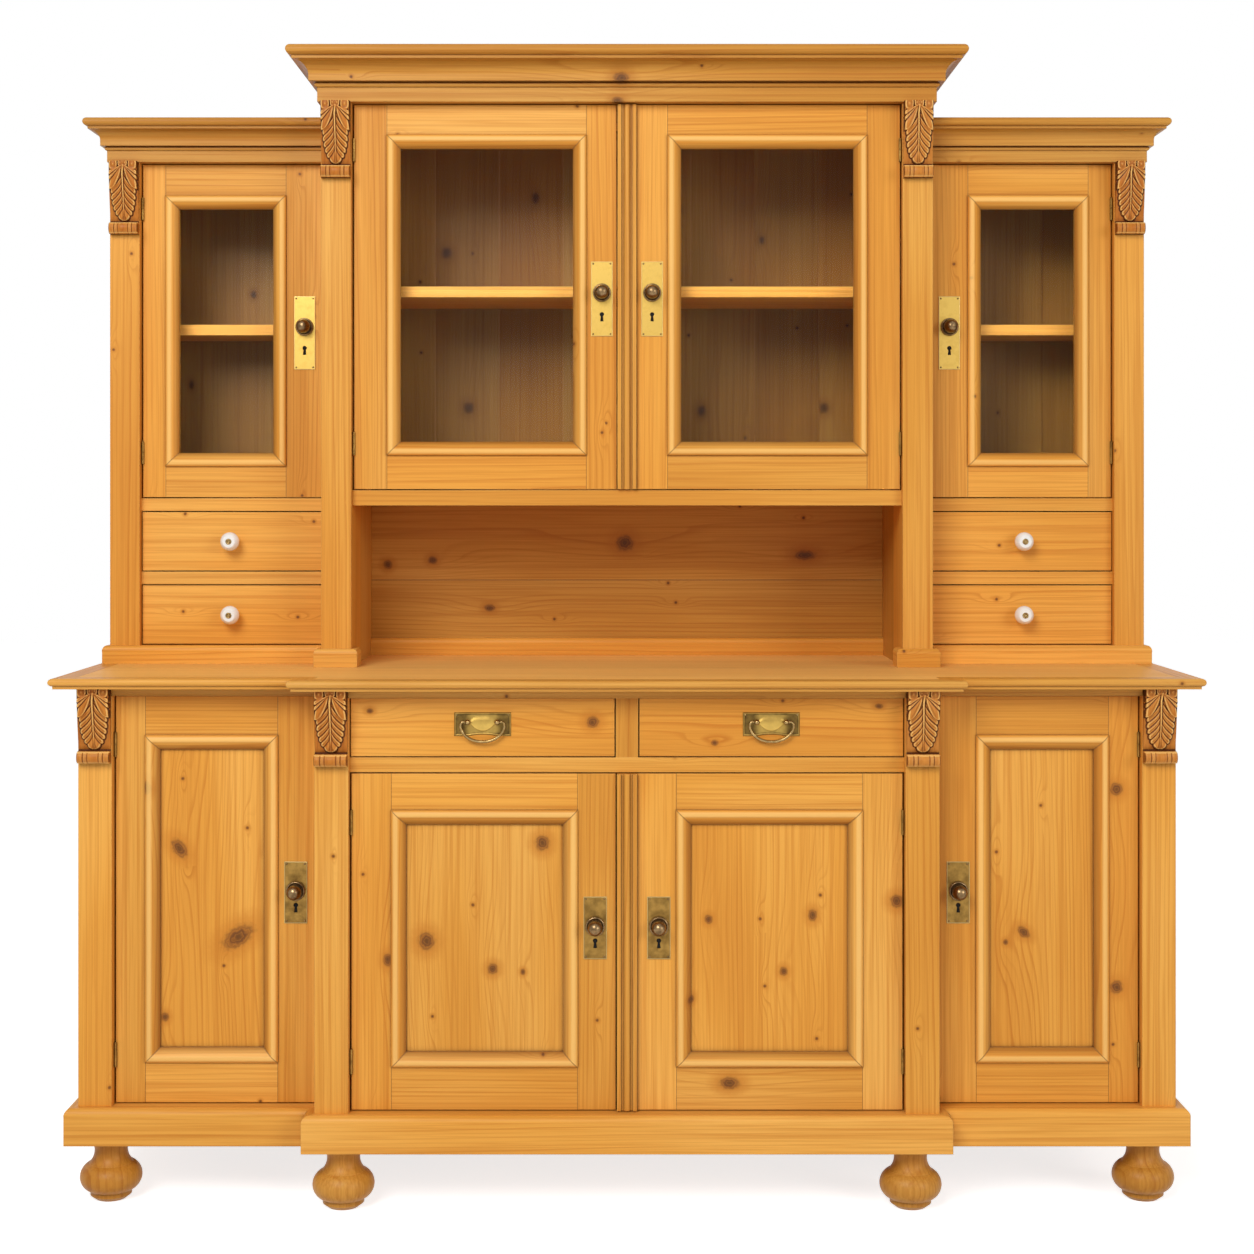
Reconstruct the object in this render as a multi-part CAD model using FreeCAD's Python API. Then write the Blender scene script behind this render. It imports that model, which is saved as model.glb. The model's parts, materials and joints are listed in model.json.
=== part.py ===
"""Breakfront pine dresser: a cupboard base with a worktop, and a glazed top with an open alcove.

Lengths are in millimetres. X runs to the right, Z up, and the front faces -Y. Depths (q) are
measured forward from the back of the dresser.
"""
import FreeCAD, Part
import math
import os

Vec = FreeCAD.Vector

# Heights of the base, from the floor up
foot_height = 104.0
base_frame_thickness = 22.0
plinth_height = 62.0
base_opening_height = 698.0
drawer_opening_height = 101.5
drawer_rail_height = 25.0
bed_height = 14.0
worktop_thickness = 18.0

# Heights of the top, from the worktop up
upper_plinth_height = 33.0
small_drawer_opening = 112.0
small_rail_height = 23.5
side_door_opening = 619.0
side_cornice_height = 77.0
alcove_height = 291.0
alcove_rail_height = 27.5
centre_door_opening = 699.5
centre_cornice_height = 95.0

# Widths, from the middle outwards
base_centre_half = 468.0
base_post_width = 57.0
base_side_opening = 351.0
upper_centre_spread = 29.0
upper_post_narrowing = 2.5
upper_side_narrowing = 4.5

# Depths, from the back forwards
base_side_depth = 532.0
base_break = 44.0
upper_side_depth = 230.0
upper_break = 85.0
base_door_recess = 17.0
upper_door_recess = 15.0
base_post_depth = 60.0
upper_post_depth = 45.0

# Boards
panel_thickness = 18.0
floor_thickness = 18.0
shelf_thickness = 19.5
back_thickness = 14.0
back_board_width = 132.0
worktop_boards = 3
rail_depth = 40.0
stop_rail_height = 30.0
stop_rail_depth = 20.0
runner_width = 22.0
runner_thickness = 14.0
divider_width = 38.0
base_frame_width = 96.0
shelf_setback = 26.0
base_shelf_height_share = 0.5
side_shelf_rise = 305.5
centre_shelf_rise = 354.0

# Running gaps
door_gap = 2.2
hinge_gap = 3.2
drawer_gap = 2.0
slide_gap = 0.3
stop_gap = 1.0
panel_play = 0.5

# Worktop, plinth, bed and cornice mouldings
worktop_overhang = 41.4
worktop_fillet = 5.0
bed_projection = 7.0
bed_fillet = 2.5
plinth_projection = 20.0
plinth_top_height = 13.0
plinth_top_setback = 9.0
upper_plinth_projection = 12.0
upper_plinth_top_height = 12.0
upper_plinth_top_setback = 5.0
skirting_projection = 14.0
cornice_back = 12.0
side_cornice_projection = 41.0
centre_cornice_projection = 56.0
cornice_frieze_share = 0.27
cornice_bead_share = 0.37
cornice_fascia_share = 0.50
cornice_cove_share = 0.74
cornice_fillet_share = 0.80
frieze_projection_share = 0.11
fascia_projection_share = 0.36

# Doors: thickness, then the bolection moulding that frames each panel or pane
door_thickness = 22.0
moulding_width = 25.0
moulding_rise = 7.0
moulding_edge_rise = 3.0
moulding_crest_share = 0.42
moulding_lip_drop = 4.0
moulding_lip_back = 8.0
rebate_width = 11.0
panel_board = 8.0
pane_thickness = 3.0
bead_width = 9.0
strip_width = 34.0
strip_rise = 9.0
strip_bead_width = 12.0
strip_groove_depth = 4.0
strip_groove_width = 4.0

# From a door opening to the moulding: lock side, hinge side, top, bottom
base_side_margins = (71.0, 53.0, 68.5, 70.0)
base_centre_margins = (66.0, 70.0, 63.5, 74.0)
upper_side_margins = (78.5, 44.5, 59.0, 59.0)
upper_centre_margins = (56.0, 62.0, 56.0, 63.0)

# Lift-off hinges, two to a door
hinge_length = 42.0
hinge_leaf = 1.2
hinge_leaf_depth = 18.0
hinge_inset = 82.0
knuckle_radius = 2.6
knuckle_clearance = 0.3
hinge_pin_radius = 1.1
pin_clearance = 0.05
knuckle_gap = 0.4

# Turning door knobs on screwed back plates
plate_width = 39.0
plate_thickness = 1.6
upper_plate_height = 135.0
base_plate_height = 105.0
upper_knob_rise = 11.0
base_knob_rise = 3.0
upper_keyhole_drop = 39.0
base_keyhole_drop = 24.6
keyhole_radius = 3.9
keyhole_waist_width = 3.4
keyhole_foot_width = 6.0
keyhole_slot_length = 12.6
spindle_radius = 4.0
spindle_hole_radius = 5.5
ring_radius = 16.5
ring_lip_width = 4.0
ring_height = 7.0
neck_radius = 7.0
neck_height = 11.0
ball_radius = 12.5
lock_width = 36.0
lock_height = 62.0
lock_depth = 11.0
plate_height_shares = {"base_side": 0.517, "base_centre": 0.541,
                       "upper_side": 0.494, "upper_centre": 0.495}
base_side_plate_inset = 40.5
base_centre_plate_inset = 36.7
upper_side_plate_inset = 44.5
upper_centre_plate_inset = 28.5

# Drawers
drawer_front = 20.0
drawer_side = 11.0
drawer_bottom = 7.0
drawer_bottom_rise = 6.0
drawer_back_gap = 26.0
drawer_side_drop = 12.0

# Drop handles of the wide drawers
handle_plate_width = 96.0
handle_plate_height = 40.0
handle_plate_thickness = 1.6
handle_dip = 2.5
handle_dip_share = 0.5
handle_rise = 5.5
handle_pivot_spacing = 49.5
handle_pivot_rise = 4.0
handle_post_radius = 5.0
handle_post_length = 13.0
bail_radius = 2.4
bail_pin_radius = 1.8
bail_shoulder = 2.0
bail_drop = 32.5
bail_corner = 6.0
bail_sides = 8
bail_axis_rise = 9.0

# Porcelain knobs of the small drawers
porcelain_radius = 17.3
porcelain_neck_radius = 8.0
porcelain_foot_radius = 11.0
porcelain_foot_height = 2.0
porcelain_neck_height = 6.0
porcelain_front_radius = 11.0
porcelain_offset = 6.0

# Turned bun feet in front, square feet behind
foot_setback = 58.0
foot_inset = 47.0
foot_inner_inset = 44.0
foot_ball_radius = 52.5
foot_ball_share = 0.36
foot_base_radius = 26.0
foot_ring_radius = 35.0
foot_ring_height = 14.0
foot_collar_radius = 37.0
foot_collar_share = 0.59
foot_waist_radius = 28.5
foot_waist_share = 0.74
foot_top_radius = 36.0
rear_foot_width = 64.0

# Carved corbels on the posts
corbel_margin = 1.0
corbel_projection = 24.0
corbel_scroll_radius = 11.0
corbel_waist_projection = 9.0
corbel_shoulder_share = 0.8
corbel_scroll_share = 1.9
base_corbel_height = 125.0
side_corbel_height = 130.0
centre_corbel_height = 134.0

# Levels that follow from the heights
base_frame_top = foot_height + base_frame_thickness
plinth_top = foot_height + plinth_height
base_top = plinth_top + base_opening_height
drawer_sill = base_top - drawer_opening_height
centre_head = drawer_sill - drawer_rail_height
worktop_bottom = base_top + bed_height
worktop_top = worktop_bottom + worktop_thickness
upper_floor = worktop_top + upper_plinth_height
small_rail_1 = upper_floor + small_drawer_opening
small_sill_2 = small_rail_1 + small_rail_height
small_rail_2 = small_sill_2 + small_drawer_opening
side_sill = small_rail_2 + small_rail_height
side_head = side_sill + side_door_opening
alcove_head = worktop_top + alcove_height
centre_sill = alcove_head + alcove_rail_height
centre_top = centre_sill + centre_door_opening

# Places across and through the dresser that follow from the widths and depths
base_inner = base_centre_half + base_post_width
base_outer = base_inner + base_side_opening
base_end = base_outer + base_post_width
upper_centre_half = base_centre_half + upper_centre_spread
upper_post_width = base_post_width - upper_post_narrowing
upper_side_opening = base_side_opening - upper_side_narrowing
upper_inner = upper_centre_half + upper_post_width
upper_outer = upper_inner + upper_side_opening
upper_end = upper_outer + upper_post_width
base_centre_depth = base_side_depth + base_break
upper_centre_depth = upper_side_depth + upper_break
base_side_face = base_side_depth - base_door_recess
base_centre_face = base_centre_depth - base_door_recess
upper_side_face = upper_side_depth - upper_door_recess
upper_centre_face = upper_centre_depth - upper_door_recess
half_depth = (base_centre_depth + worktop_overhang) / 2
knuckle_offset = knuckle_radius + knuckle_clearance
overrun = worktop_thickness


def depth_to_y(q):
    """Y of a place that lies q in front of the back."""
    return half_depth - q


def board(x, q, z):
    """Straight board between two X, two depths and two heights."""
    corner = Vec(min(x), depth_to_y(max(q)), min(z))
    return Part.makeBox(max(x) - min(x), max(q) - min(q), max(z) - min(z), corner)


def mirrored(shapes):
    """The same pieces on the other side of the dresser."""
    return [shape.mirror(Vec(0, 0, 0), Vec(1, 0, 0)) for shape in shapes]


def both_sides(shapes):
    return shapes + mirrored(shapes)


def outline(steps):
    """Closed face in the XZ plane: (x, z) draws a line, (xm, zm, x, z) an arc through its middle."""
    here = Vec(steps[0][0], 0, steps[0][1])
    start = here
    edges = []
    for step in steps[1:]:
        end = Vec(step[-2], 0, step[-1])
        if len(step) == 2:
            edges.append(Part.LineSegment(here, end).toShape())
        else:
            edges.append(Part.Arc(here, Vec(step[0], 0, step[1]), end).toShape())
        here = end
    if here.distanceToPoint(start) > 0:
        edges.append(Part.LineSegment(here, start).toShape())
    return Part.Face(Part.Wire(edges))


def mitred_runs(section, path, closed=False):
    """One solid per stretch of a path, the section to the right of travel, its ends mitred."""
    corners = [Vec(x, y, 0) for x, y in path]
    count = len(corners) if closed else len(corners) - 1
    along = []
    for i in range(count):
        along.append((corners[(i + 1) % len(corners)] - corners[i]).normalize())
    outward = [Vec(d.y, -d.x, 0) for d in along]

    def mitre(vertex):
        before = (vertex - 1) % len(corners)
        if not closed and vertex == 0:
            return outward[0]
        if not closed and vertex == len(corners) - 1:
            return outward[-1]
        both = outward[before] + outward[vertex]
        return both * (1 / (1 + outward[before].dot(outward[vertex])))

    box = section.BoundBox
    near = box.XMin - overrun
    far = box.XMax + overrun
    reach = max(abs(near), abs(far)) + overrun
    runs = []
    for i in range(count):
        j = (i + 1) % len(corners)
        plan = [corners[i] + mitre(i) * near, corners[j] + mitre(j) * near,
                corners[j] + mitre(j) * far, corners[i] + mitre(i) * far]
        for point in plan:
            point.z = box.ZMin - overrun
        limits = Part.Face(Part.makePolygon(plan + plan[:1]))
        limits = limits.extrude(Vec(0, 0, box.ZLength + overrun + overrun))
        length = (corners[j] - corners[i]).Length + reach + reach
        run = section.extrude(Vec(0, length, 0))
        turn = math.degrees(math.atan2(-along[i].x, along[i].y))
        run.rotate(Vec(0, 0, 0), Vec(0, 0, 1), turn)
        run.translate(corners[i] - along[i] * reach)
        runs.extend(run.common(limits).Solids)
    return runs


def turned(steps, centre, axis=Vec(0, 0, 1)):
    """Solid of revolution from a (radius, height) outline, set upright or along another axis."""
    solid = outline(steps).revolve(Vec(0, 0, 0), Vec(0, 0, 1), 360)
    solid.Placement = FreeCAD.Placement(centre, FreeCAD.Rotation(Vec(0, 0, 1), axis))
    return solid


def cylinder(radius, start, end):
    run = end - start
    return Part.makeCylinder(radius, run.Length, start, run)


def fused(first, *others):
    return first.multiFuse(list(others)).removeSplitter().Solids[0]


nodes = {}

# Share of a radius reached at the middle of a quarter round
diagonal_share = math.sqrt(0.5)


def quarter(p0, z0, p1, z1):
    """Quarter round that leaves upright and ends level: hollow if it runs out, full if it runs in."""
    return (p1 + (p0 - p1) * diagonal_share, z0 + (z1 - z0) * diagonal_share, p1, z1)


def middle(low, high):
    return (low + high) / 2


def breakfront(end, inner, side_depth, centre_depth):
    """Plan path round both ends and the stepped front, from the left back to the right back."""
    left = [(-end, 0), (-end, side_depth), (-inner, side_depth), (-inner, centre_depth)]
    right = [(-x, q) for x, q in reversed(left)]
    return [(x, depth_to_y(q)) for x, q in left + right]


def plinth_section(low, high, projection, top_height, top_setback):
    """Upright board with a quarter-round top edge."""
    return outline([(0, low), (projection, low), (projection, high - top_height),
                    quarter(projection, high - top_height, projection - top_setback, high), (0, high)])


def cornice_section(low, height, projection):
    """Frieze, bead, fascia, cove, fillet and round nose, one above the other."""
    bead_low = low + height * cornice_frieze_share
    bead_high = low + height * cornice_bead_share
    cove_low = low + height * cornice_fascia_share
    cove_high = low + height * cornice_cove_share
    nose_low = low + height * cornice_fillet_share
    high = low + height
    frieze = projection * frieze_projection_share
    bead = frieze + (bead_high - bead_low) / 2
    fascia = projection * fascia_projection_share
    fillet = projection - (high - nose_low) / 2
    return outline([(-cornice_back, low), (frieze, low), (frieze, bead_low),
                    (bead, middle(bead_low, bead_high), frieze, bead_high),
                    (fascia, bead_high), (fascia, cove_low), quarter(fascia, cove_low, fillet, cove_high),
                    (fillet, nose_low), (projection, middle(nose_low, high), fillet, high),
                    (-cornice_back, high)])


def boards_across(x, q, z, width):
    """Upright boards edge to edge between two X."""
    count = max(1, round((x[1] - x[0]) / width))
    step = (x[1] - x[0]) / count
    return [board((x[0] + i * step, x[0] + (i + 1) * step), q, z) for i in range(count)]


def boards_up(x, q, z, width):
    """Level boards edge to edge between two heights."""
    count = max(1, round((z[1] - z[0]) / width))
    step = (z[1] - z[0]) / count
    return [board(x, q, (z[0] + i * step, z[0] + (i + 1) * step)) for i in range(count)]


# Turned bun feet under the front of the base frame, plain square ones under its back
def bun_foot(x, q):
    collar = foot_height * foot_collar_share
    waist = foot_height * foot_waist_share
    return turned([(0, 0), (foot_base_radius, 0), (foot_ring_radius, foot_ring_height / 2),
                   (foot_ring_radius, foot_ring_height),
                   (foot_ball_radius, foot_height * foot_ball_share, foot_collar_radius, collar),
                   (foot_waist_radius, waist, foot_top_radius, foot_height), (0, foot_height)],
                  Vec(x, depth_to_y(q), 0))


foot_x = (base_end - foot_inset, base_inner - foot_inner_inset)
foot_front_q = (base_side_depth + plinth_projection - foot_setback,
                base_centre_depth + plinth_projection - foot_setback)
rear_half = rear_foot_width / 2
rear_q = (foot_setback - rear_half, foot_setback + rear_half)
feet = []
for x, front_q in zip(foot_x, foot_front_q):
    feet += [bun_foot(x, front_q), board((x - rear_half, x + rear_half), rear_q, (0, foot_height))]
nodes["feet"] = both_sides(feet)

# Base frame on the feet, and the moulded plinth round it
frame_z = (foot_height, base_frame_top)
end_rail = base_end - base_frame_width
inner_rail = base_inner - base_frame_width
front_side_q = (base_side_depth - base_frame_width, base_side_depth)
front_centre_q = (base_centre_depth - base_frame_width, base_centre_depth)
frame_boards = both_sides([board((end_rail, base_end), (0, base_side_depth), frame_z),
                           board((inner_rail, base_inner), (0, base_centre_depth), frame_z),
                           board((base_inner, end_rail), front_side_q, frame_z),
                           board((base_inner, end_rail), (0, base_frame_width), frame_z)])
frame_boards += [board((-inner_rail, inner_rail), q, frame_z)
                 for q in (front_centre_q, (0, base_frame_width))]
base_path = breakfront(base_end, base_inner, base_side_depth, base_centre_depth)
nodes["plinth"] = frame_boards + mitred_runs(
    plinth_section(foot_height, plinth_top, plinth_projection, plinth_top_height,
                   plinth_top_setback), base_path)

# Base carcass: ends and partitions, posts, floors and shelves, rails and runners, back boards
base_post_back = base_side_depth - base_post_depth
base_z = (base_frame_top, base_top)
base_panel_q = (0, base_post_back)
base_end_inside = base_end - panel_thickness
nodes["base_side_panels"] = both_sides([
    board((base_end_inside, base_end), base_panel_q, base_z),
    board((base_inner - panel_thickness, base_inner), base_panel_q, base_z),
    board((base_centre_half, base_centre_half + panel_thickness), base_panel_q, base_z)])
nodes["base_posts"] = both_sides([
    board((base_outer, base_end), (base_post_back, base_side_depth), base_z),
    board((base_centre_half, base_inner), (base_post_back, base_centre_depth), base_z)])

base_centre_post_back = base_centre_depth - base_post_depth
floor_z = (plinth_top - floor_thickness, plinth_top)
base_shelf_low = plinth_top + base_opening_height * base_shelf_height_share
centre_shelf_low = plinth_top + (centre_head - plinth_top) * base_shelf_height_share
nodes["base_shelf_boards"] = both_sides([
    board((base_inner, base_end_inside), (back_thickness, base_post_back), floor_z),
    board((base_inner, base_end_inside), (back_thickness, base_post_back - shelf_setback),
          (base_shelf_low, base_shelf_low + shelf_thickness))])
nodes["base_shelf_boards"] += [
    board((-base_centre_half, base_centre_half), (back_thickness, base_centre_post_back), floor_z),
    board((-base_centre_half, base_centre_half), (back_thickness, base_centre_post_back - shelf_setback),
          (centre_shelf_low, centre_shelf_low + shelf_thickness))]

base_side_stop = base_side_face - door_thickness - stop_gap
base_centre_stop = base_centre_face - door_thickness - stop_gap
drawer_rail_back = base_centre_face - rail_depth
divider_half = divider_width / 2
runner_z = (drawer_sill - runner_thickness, drawer_sill)
runner_q = (back_thickness, drawer_rail_back)
nodes["base_rails"] = both_sides([
    board((base_inner, base_outer), (base_post_back, base_side_depth), (base_frame_top, plinth_top)),
    board((base_inner, base_outer), (base_side_stop - stop_rail_depth, base_side_stop),
          (base_top - stop_rail_height, base_top)),
    board((base_centre_half - runner_width, base_centre_half), runner_q, runner_z)])
nodes["base_rails"] += [
    board((-base_centre_half, base_centre_half), (base_centre_post_back, base_centre_depth),
          (base_frame_top, plinth_top)),
    board((-base_centre_half, base_centre_half), (drawer_rail_back, base_centre_face),
          (centre_head, drawer_sill)),
    board((-base_centre_half, base_centre_half), (base_centre_stop - stop_rail_depth, base_centre_stop),
          (centre_head - stop_rail_height, centre_head)),
    board((-divider_half, divider_half), (drawer_rail_back, base_centre_face), (drawer_sill, base_top)),
    board((-divider_half - runner_width, divider_half + runner_width), runner_q, runner_z),
    board((-divider_half, divider_half), runner_q, (drawer_sill, drawer_sill + runner_thickness))]
nodes["base_back_boards"] = both_sides(
    boards_across((base_inner, base_end_inside), (0, back_thickness), base_z, back_board_width))
nodes["base_back_boards"] += boards_across((-base_centre_half, base_centre_half), (0, back_thickness),
                                           base_z, back_board_width)

# Worktop: sub-top, boards and a moulded edge, with bed mouldings under the edge between the posts
sub_top_z = (base_top, worktop_bottom)
worktop_z = (worktop_bottom, worktop_top)
break_q = (base_side_depth, base_centre_depth)
board_depth = base_side_depth / worktop_boards
nodes["worktop"] = [board((-base_end, base_end), (0, base_side_depth), sub_top_z),
                    board((-base_inner, base_inner), break_q, sub_top_z),
                    board((-base_inner, base_inner), break_q, worktop_z)]
nodes["worktop"] += [board((-base_end, base_end), (i * board_depth, (i + 1) * board_depth), worktop_z)
                     for i in range(worktop_boards)]
nose_low = worktop_bottom + worktop_fillet
nose_back = worktop_overhang - (worktop_top - nose_low) / 2
nodes["worktop"] += mitred_runs(
    outline([(0, worktop_bottom), (nose_back, worktop_bottom), (nose_back, nose_low),
             (worktop_overhang, middle(nose_low, worktop_top), nose_back, worktop_top),
             (0, worktop_top)]), base_path)
bed_section = outline([(0, base_top), (bed_fillet, base_top),
                       quarter(bed_fillet, base_top, bed_projection, worktop_bottom - bed_fillet),
                       (bed_projection, worktop_bottom), (0, worktop_bottom)])


def bed_run(x, q):
    return mitred_runs(bed_section, [(end, depth_to_y(q)) for end in x])


nodes["bed_moulding"] = both_sides(bed_run((base_inner, base_outer), base_side_depth))
nodes["bed_moulding"] += bed_run((-base_centre_half, base_centre_half), base_centre_depth)

# Upper carcass: plinth, ends and partitions, posts
upper_post_back = upper_side_depth - upper_post_depth
upper_end_inside = upper_end - panel_thickness
tower_path = [(-upper_end, 0), (-upper_end, upper_side_depth), (-upper_inner, upper_side_depth)]
plinth_path = tower_path + [
    (-upper_inner, upper_centre_depth), (-upper_centre_half, upper_centre_depth),
    (-upper_centre_half, upper_centre_depth - upper_post_depth)]
nodes["upper_plinth"] = both_sides(mitred_runs(
    plinth_section(worktop_top, upper_floor, upper_plinth_projection, upper_plinth_top_height,
                   upper_plinth_top_setback), [(x, depth_to_y(q)) for x, q in plinth_path]))
nodes["upper_side_panels"] = both_sides([
    board((upper_end_inside, upper_end), (0, upper_post_back), (worktop_top, side_head)),
    board((upper_inner - panel_thickness, upper_inner), (0, upper_post_back), (worktop_top, centre_top)),
    board((upper_centre_half, upper_centre_half + panel_thickness), (0, upper_post_back),
          (worktop_top, centre_top))])
nodes["upper_posts"] = both_sides([
    board((upper_outer, upper_end), (upper_post_back, upper_side_depth), (worktop_top, side_head)),
    board((upper_centre_half, upper_inner), (upper_post_back, upper_centre_depth),
          (worktop_top, centre_top))])

# Upper rails and runners, floors, shelves and tops, back boards
tower_x = (upper_inner, upper_outer)
tower_inside = (upper_inner, upper_end_inside)
centre_inside = (-upper_centre_half, upper_centre_half)
tower_rail_q = (upper_side_face - rail_depth, upper_side_face)
tower_back_q = (back_thickness, upper_side_face - rail_depth)
tower_stop = upper_side_face - door_thickness - stop_gap
upper_centre_stop = upper_centre_face - door_thickness - stop_gap
small_runner_z = (small_sill_2 - runner_thickness, small_sill_2)
nodes["upper_rails"] = both_sides([
    board(tower_x, (upper_post_back, upper_side_depth), (worktop_top, upper_floor)),
    board(tower_x, tower_rail_q, (small_rail_1, small_sill_2)),
    board(tower_x, tower_rail_q, (small_rail_2, side_sill)),
    board(tower_x, (tower_stop - stop_rail_depth, tower_stop), (side_head - stop_rail_height, side_head)),
    board((upper_inner, upper_inner + runner_width), tower_back_q, small_runner_z),
    board((upper_outer - runner_width, upper_end_inside), tower_back_q, small_runner_z)])
centre_back_q = (back_thickness, upper_centre_face - rail_depth)
nodes["upper_rails"] += [
    board(centre_inside, (upper_centre_face - rail_depth, upper_centre_face), (alcove_head, centre_sill)),
    board(centre_inside, (upper_centre_stop - stop_rail_depth, upper_centre_stop),
          (centre_top - stop_rail_height, centre_top))]

side_shelf_low = side_sill + side_shelf_rise
upper_shelf_low = centre_sill + centre_shelf_rise
nodes["upper_shelf_boards"] = both_sides([
    board(tower_inside, (back_thickness, upper_post_back), (upper_floor - floor_thickness, upper_floor)),
    board(tower_inside, tower_back_q, (side_sill - floor_thickness, side_sill)),
    board(tower_inside, (back_thickness, upper_side_face - door_thickness - shelf_setback),
          (side_shelf_low, side_shelf_low + shelf_thickness)),
    board((upper_inner, upper_end - cornice_back), (0, upper_side_depth - cornice_back),
          (side_head, side_head + floor_thickness))])
nodes["upper_shelf_boards"] += [
    board(centre_inside, centre_back_q, (centre_sill - floor_thickness, centre_sill)),
    board(centre_inside, (back_thickness, upper_centre_face - door_thickness - shelf_setback),
          (upper_shelf_low, upper_shelf_low + shelf_thickness)),
    board((-upper_inner + cornice_back, upper_inner - cornice_back), (0, upper_centre_depth - cornice_back),
          (centre_top, centre_top + floor_thickness))]
nodes["upper_back_boards"] = both_sides(
    boards_across(tower_inside, (0, back_thickness), (worktop_top, side_head), back_board_width))
nodes["upper_back_boards"] += boards_across(centre_inside, (0, back_thickness),
                                            (alcove_head, centre_top), back_board_width)
nodes["upper_back_boards"] += boards_up(centre_inside, (0, back_thickness),
                                        (worktop_top, alcove_head), back_board_width)
nodes["upper_plinth"] += mitred_runs(
    plinth_section(worktop_top, upper_floor, skirting_projection, upper_plinth_top_height,
                   upper_plinth_top_setback),
    [(x, depth_to_y(back_thickness)) for x in centre_inside])

# Cornices: a lower one round each tower, a taller one round the centre
nodes["cornice"] = both_sides(mitred_runs(
    cornice_section(side_head, side_cornice_height, side_cornice_projection),
    [(x, depth_to_y(q)) for x, q in tower_path]))
centre_path = [(-upper_inner, 0), (-upper_inner, upper_centre_depth),
               (upper_inner, upper_centre_depth), (upper_inner, 0)]
nodes["cornice"] += mitred_runs(
    cornice_section(centre_top, centre_cornice_height, centre_cornice_projection),
    [(x, depth_to_y(q)) for x, q in centre_path])


# Carved corbels: a leaf-shaped console over a scroll, under the top of each post
def corbel(x, face_q, top, height):
    low = top - height
    scroll_top = low + corbel_scroll_radius + corbel_scroll_radius
    section = outline([(0, top), (corbel_projection, top),
                       (corbel_projection * corbel_shoulder_share, top - height * corbel_shoulder_share / 2,
                        corbel_waist_projection, scroll_top),
                       (corbel_scroll_radius * corbel_scroll_share, low + corbel_scroll_radius, 0, low)])
    y = depth_to_y(face_q)
    return mitred_runs(section, [(x[0] + corbel_margin, y), (x[1] - corbel_margin, y)])[0]


nodes["carved_corbels"] = both_sides([
    corbel((base_outer, base_end), base_side_depth, worktop_bottom, base_corbel_height),
    corbel((base_centre_half, base_inner), base_centre_depth, worktop_bottom, base_corbel_height),
    corbel((upper_outer, upper_end), upper_side_depth, side_head, side_corbel_height),
    corbel((upper_centre_half, upper_inner), upper_centre_depth, centre_top, centre_corbel_height)])


# Doors, made for the right-hand side with the hinges at the larger X
def on_door_face(shapes, face):
    """Stand pieces drawn flat, with height as Y and rise as Z, up on a door face."""
    for shape in shapes:
        shape.rotate(Vec(0, 0, 0), Vec(1, 0, 0), 90)
        shape.translate(Vec(0, depth_to_y(face), 0))
    return shapes


rebate_edge = moulding_width - rebate_width
crest = moulding_width * moulding_crest_share


def door_moulding(x, z, face):
    """Four mitred lengths round a panel: a rounded crest, then a hollow down to the lip."""
    section = outline([(0, -door_thickness), (0, moulding_edge_rise),
                       quarter(0, moulding_edge_rise, crest, moulding_rise),
                       (moulding_width - moulding_lip_drop, 0, moulding_width, -moulding_lip_drop),
                       (moulding_width, -moulding_lip_back), (rebate_edge, -moulding_lip_back),
                       (rebate_edge, -door_thickness)])
    path = [(x[0], z[0]), (x[0], z[1]), (x[1], z[1]), (x[1], z[0])]
    return on_door_face(mitred_runs(section, path, closed=True), face)


def retaining_beads(x, z, q):
    """Straight beads behind a panel or pane, the level ones between the upright ones."""
    return [board((x[0], x[0] + bead_width), q, z), board((x[1] - bead_width, x[1]), q, z),
            board((x[0] + bead_width, x[1] - bead_width), q, (z[0], z[0] + bead_width)),
            board((x[0] + bead_width, x[1] - bead_width), q, (z[1] - bead_width, z[1]))]


def closing_strip(z, face):
    """Reeded strip on the meeting edge of a pair of doors."""
    half = strip_width / 2
    bead = strip_bead_width / 2
    groove = bead + strip_groove_width
    floor = strip_rise - strip_groove_depth
    section = outline([(-half, -door_thickness), (half, -door_thickness), (half, strip_rise),
                       (groove, strip_rise), (groove, floor), (bead, floor), (0, strip_rise, -bead, floor),
                       (-groove, floor), (-groove, strip_rise), (-half, strip_rise)])
    return on_door_face(mitred_runs(section, [(0, z[0]), (0, z[1])]), face)


def lift_off_hinge(post_x, face, z):
    """Carcass half with the pin and the lower knuckle, and door half with the upper knuckle."""
    x = post_x - knuckle_offset
    q = face + knuckle_offset
    low = z - hinge_length / 2
    high = z + hinge_length / 2

    def on_axis(radius, ends):
        return cylinder(radius, Vec(x, depth_to_y(q), ends[0]), Vec(x, depth_to_y(q), ends[1]))

    def leaf(x_range, ends):
        return fused(board(x_range, (face - hinge_leaf_depth, face), (low, high)),
                     board(x_range, (face, q), ends), on_axis(knuckle_radius, ends))

    door_edge = post_x - hinge_gap
    carcass = leaf((post_x - hinge_leaf, post_x), (low, z))
    carcass = fused(carcass, on_axis(hinge_pin_radius, (z, high - hinge_leaf)))
    door = leaf((door_edge, door_edge + hinge_leaf), (z + knuckle_gap, high))
    bore = on_axis(hinge_pin_radius + pin_clearance, (z, high - hinge_leaf + knuckle_gap))
    return carcass, door.cut(bore).Solids[0]


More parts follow.
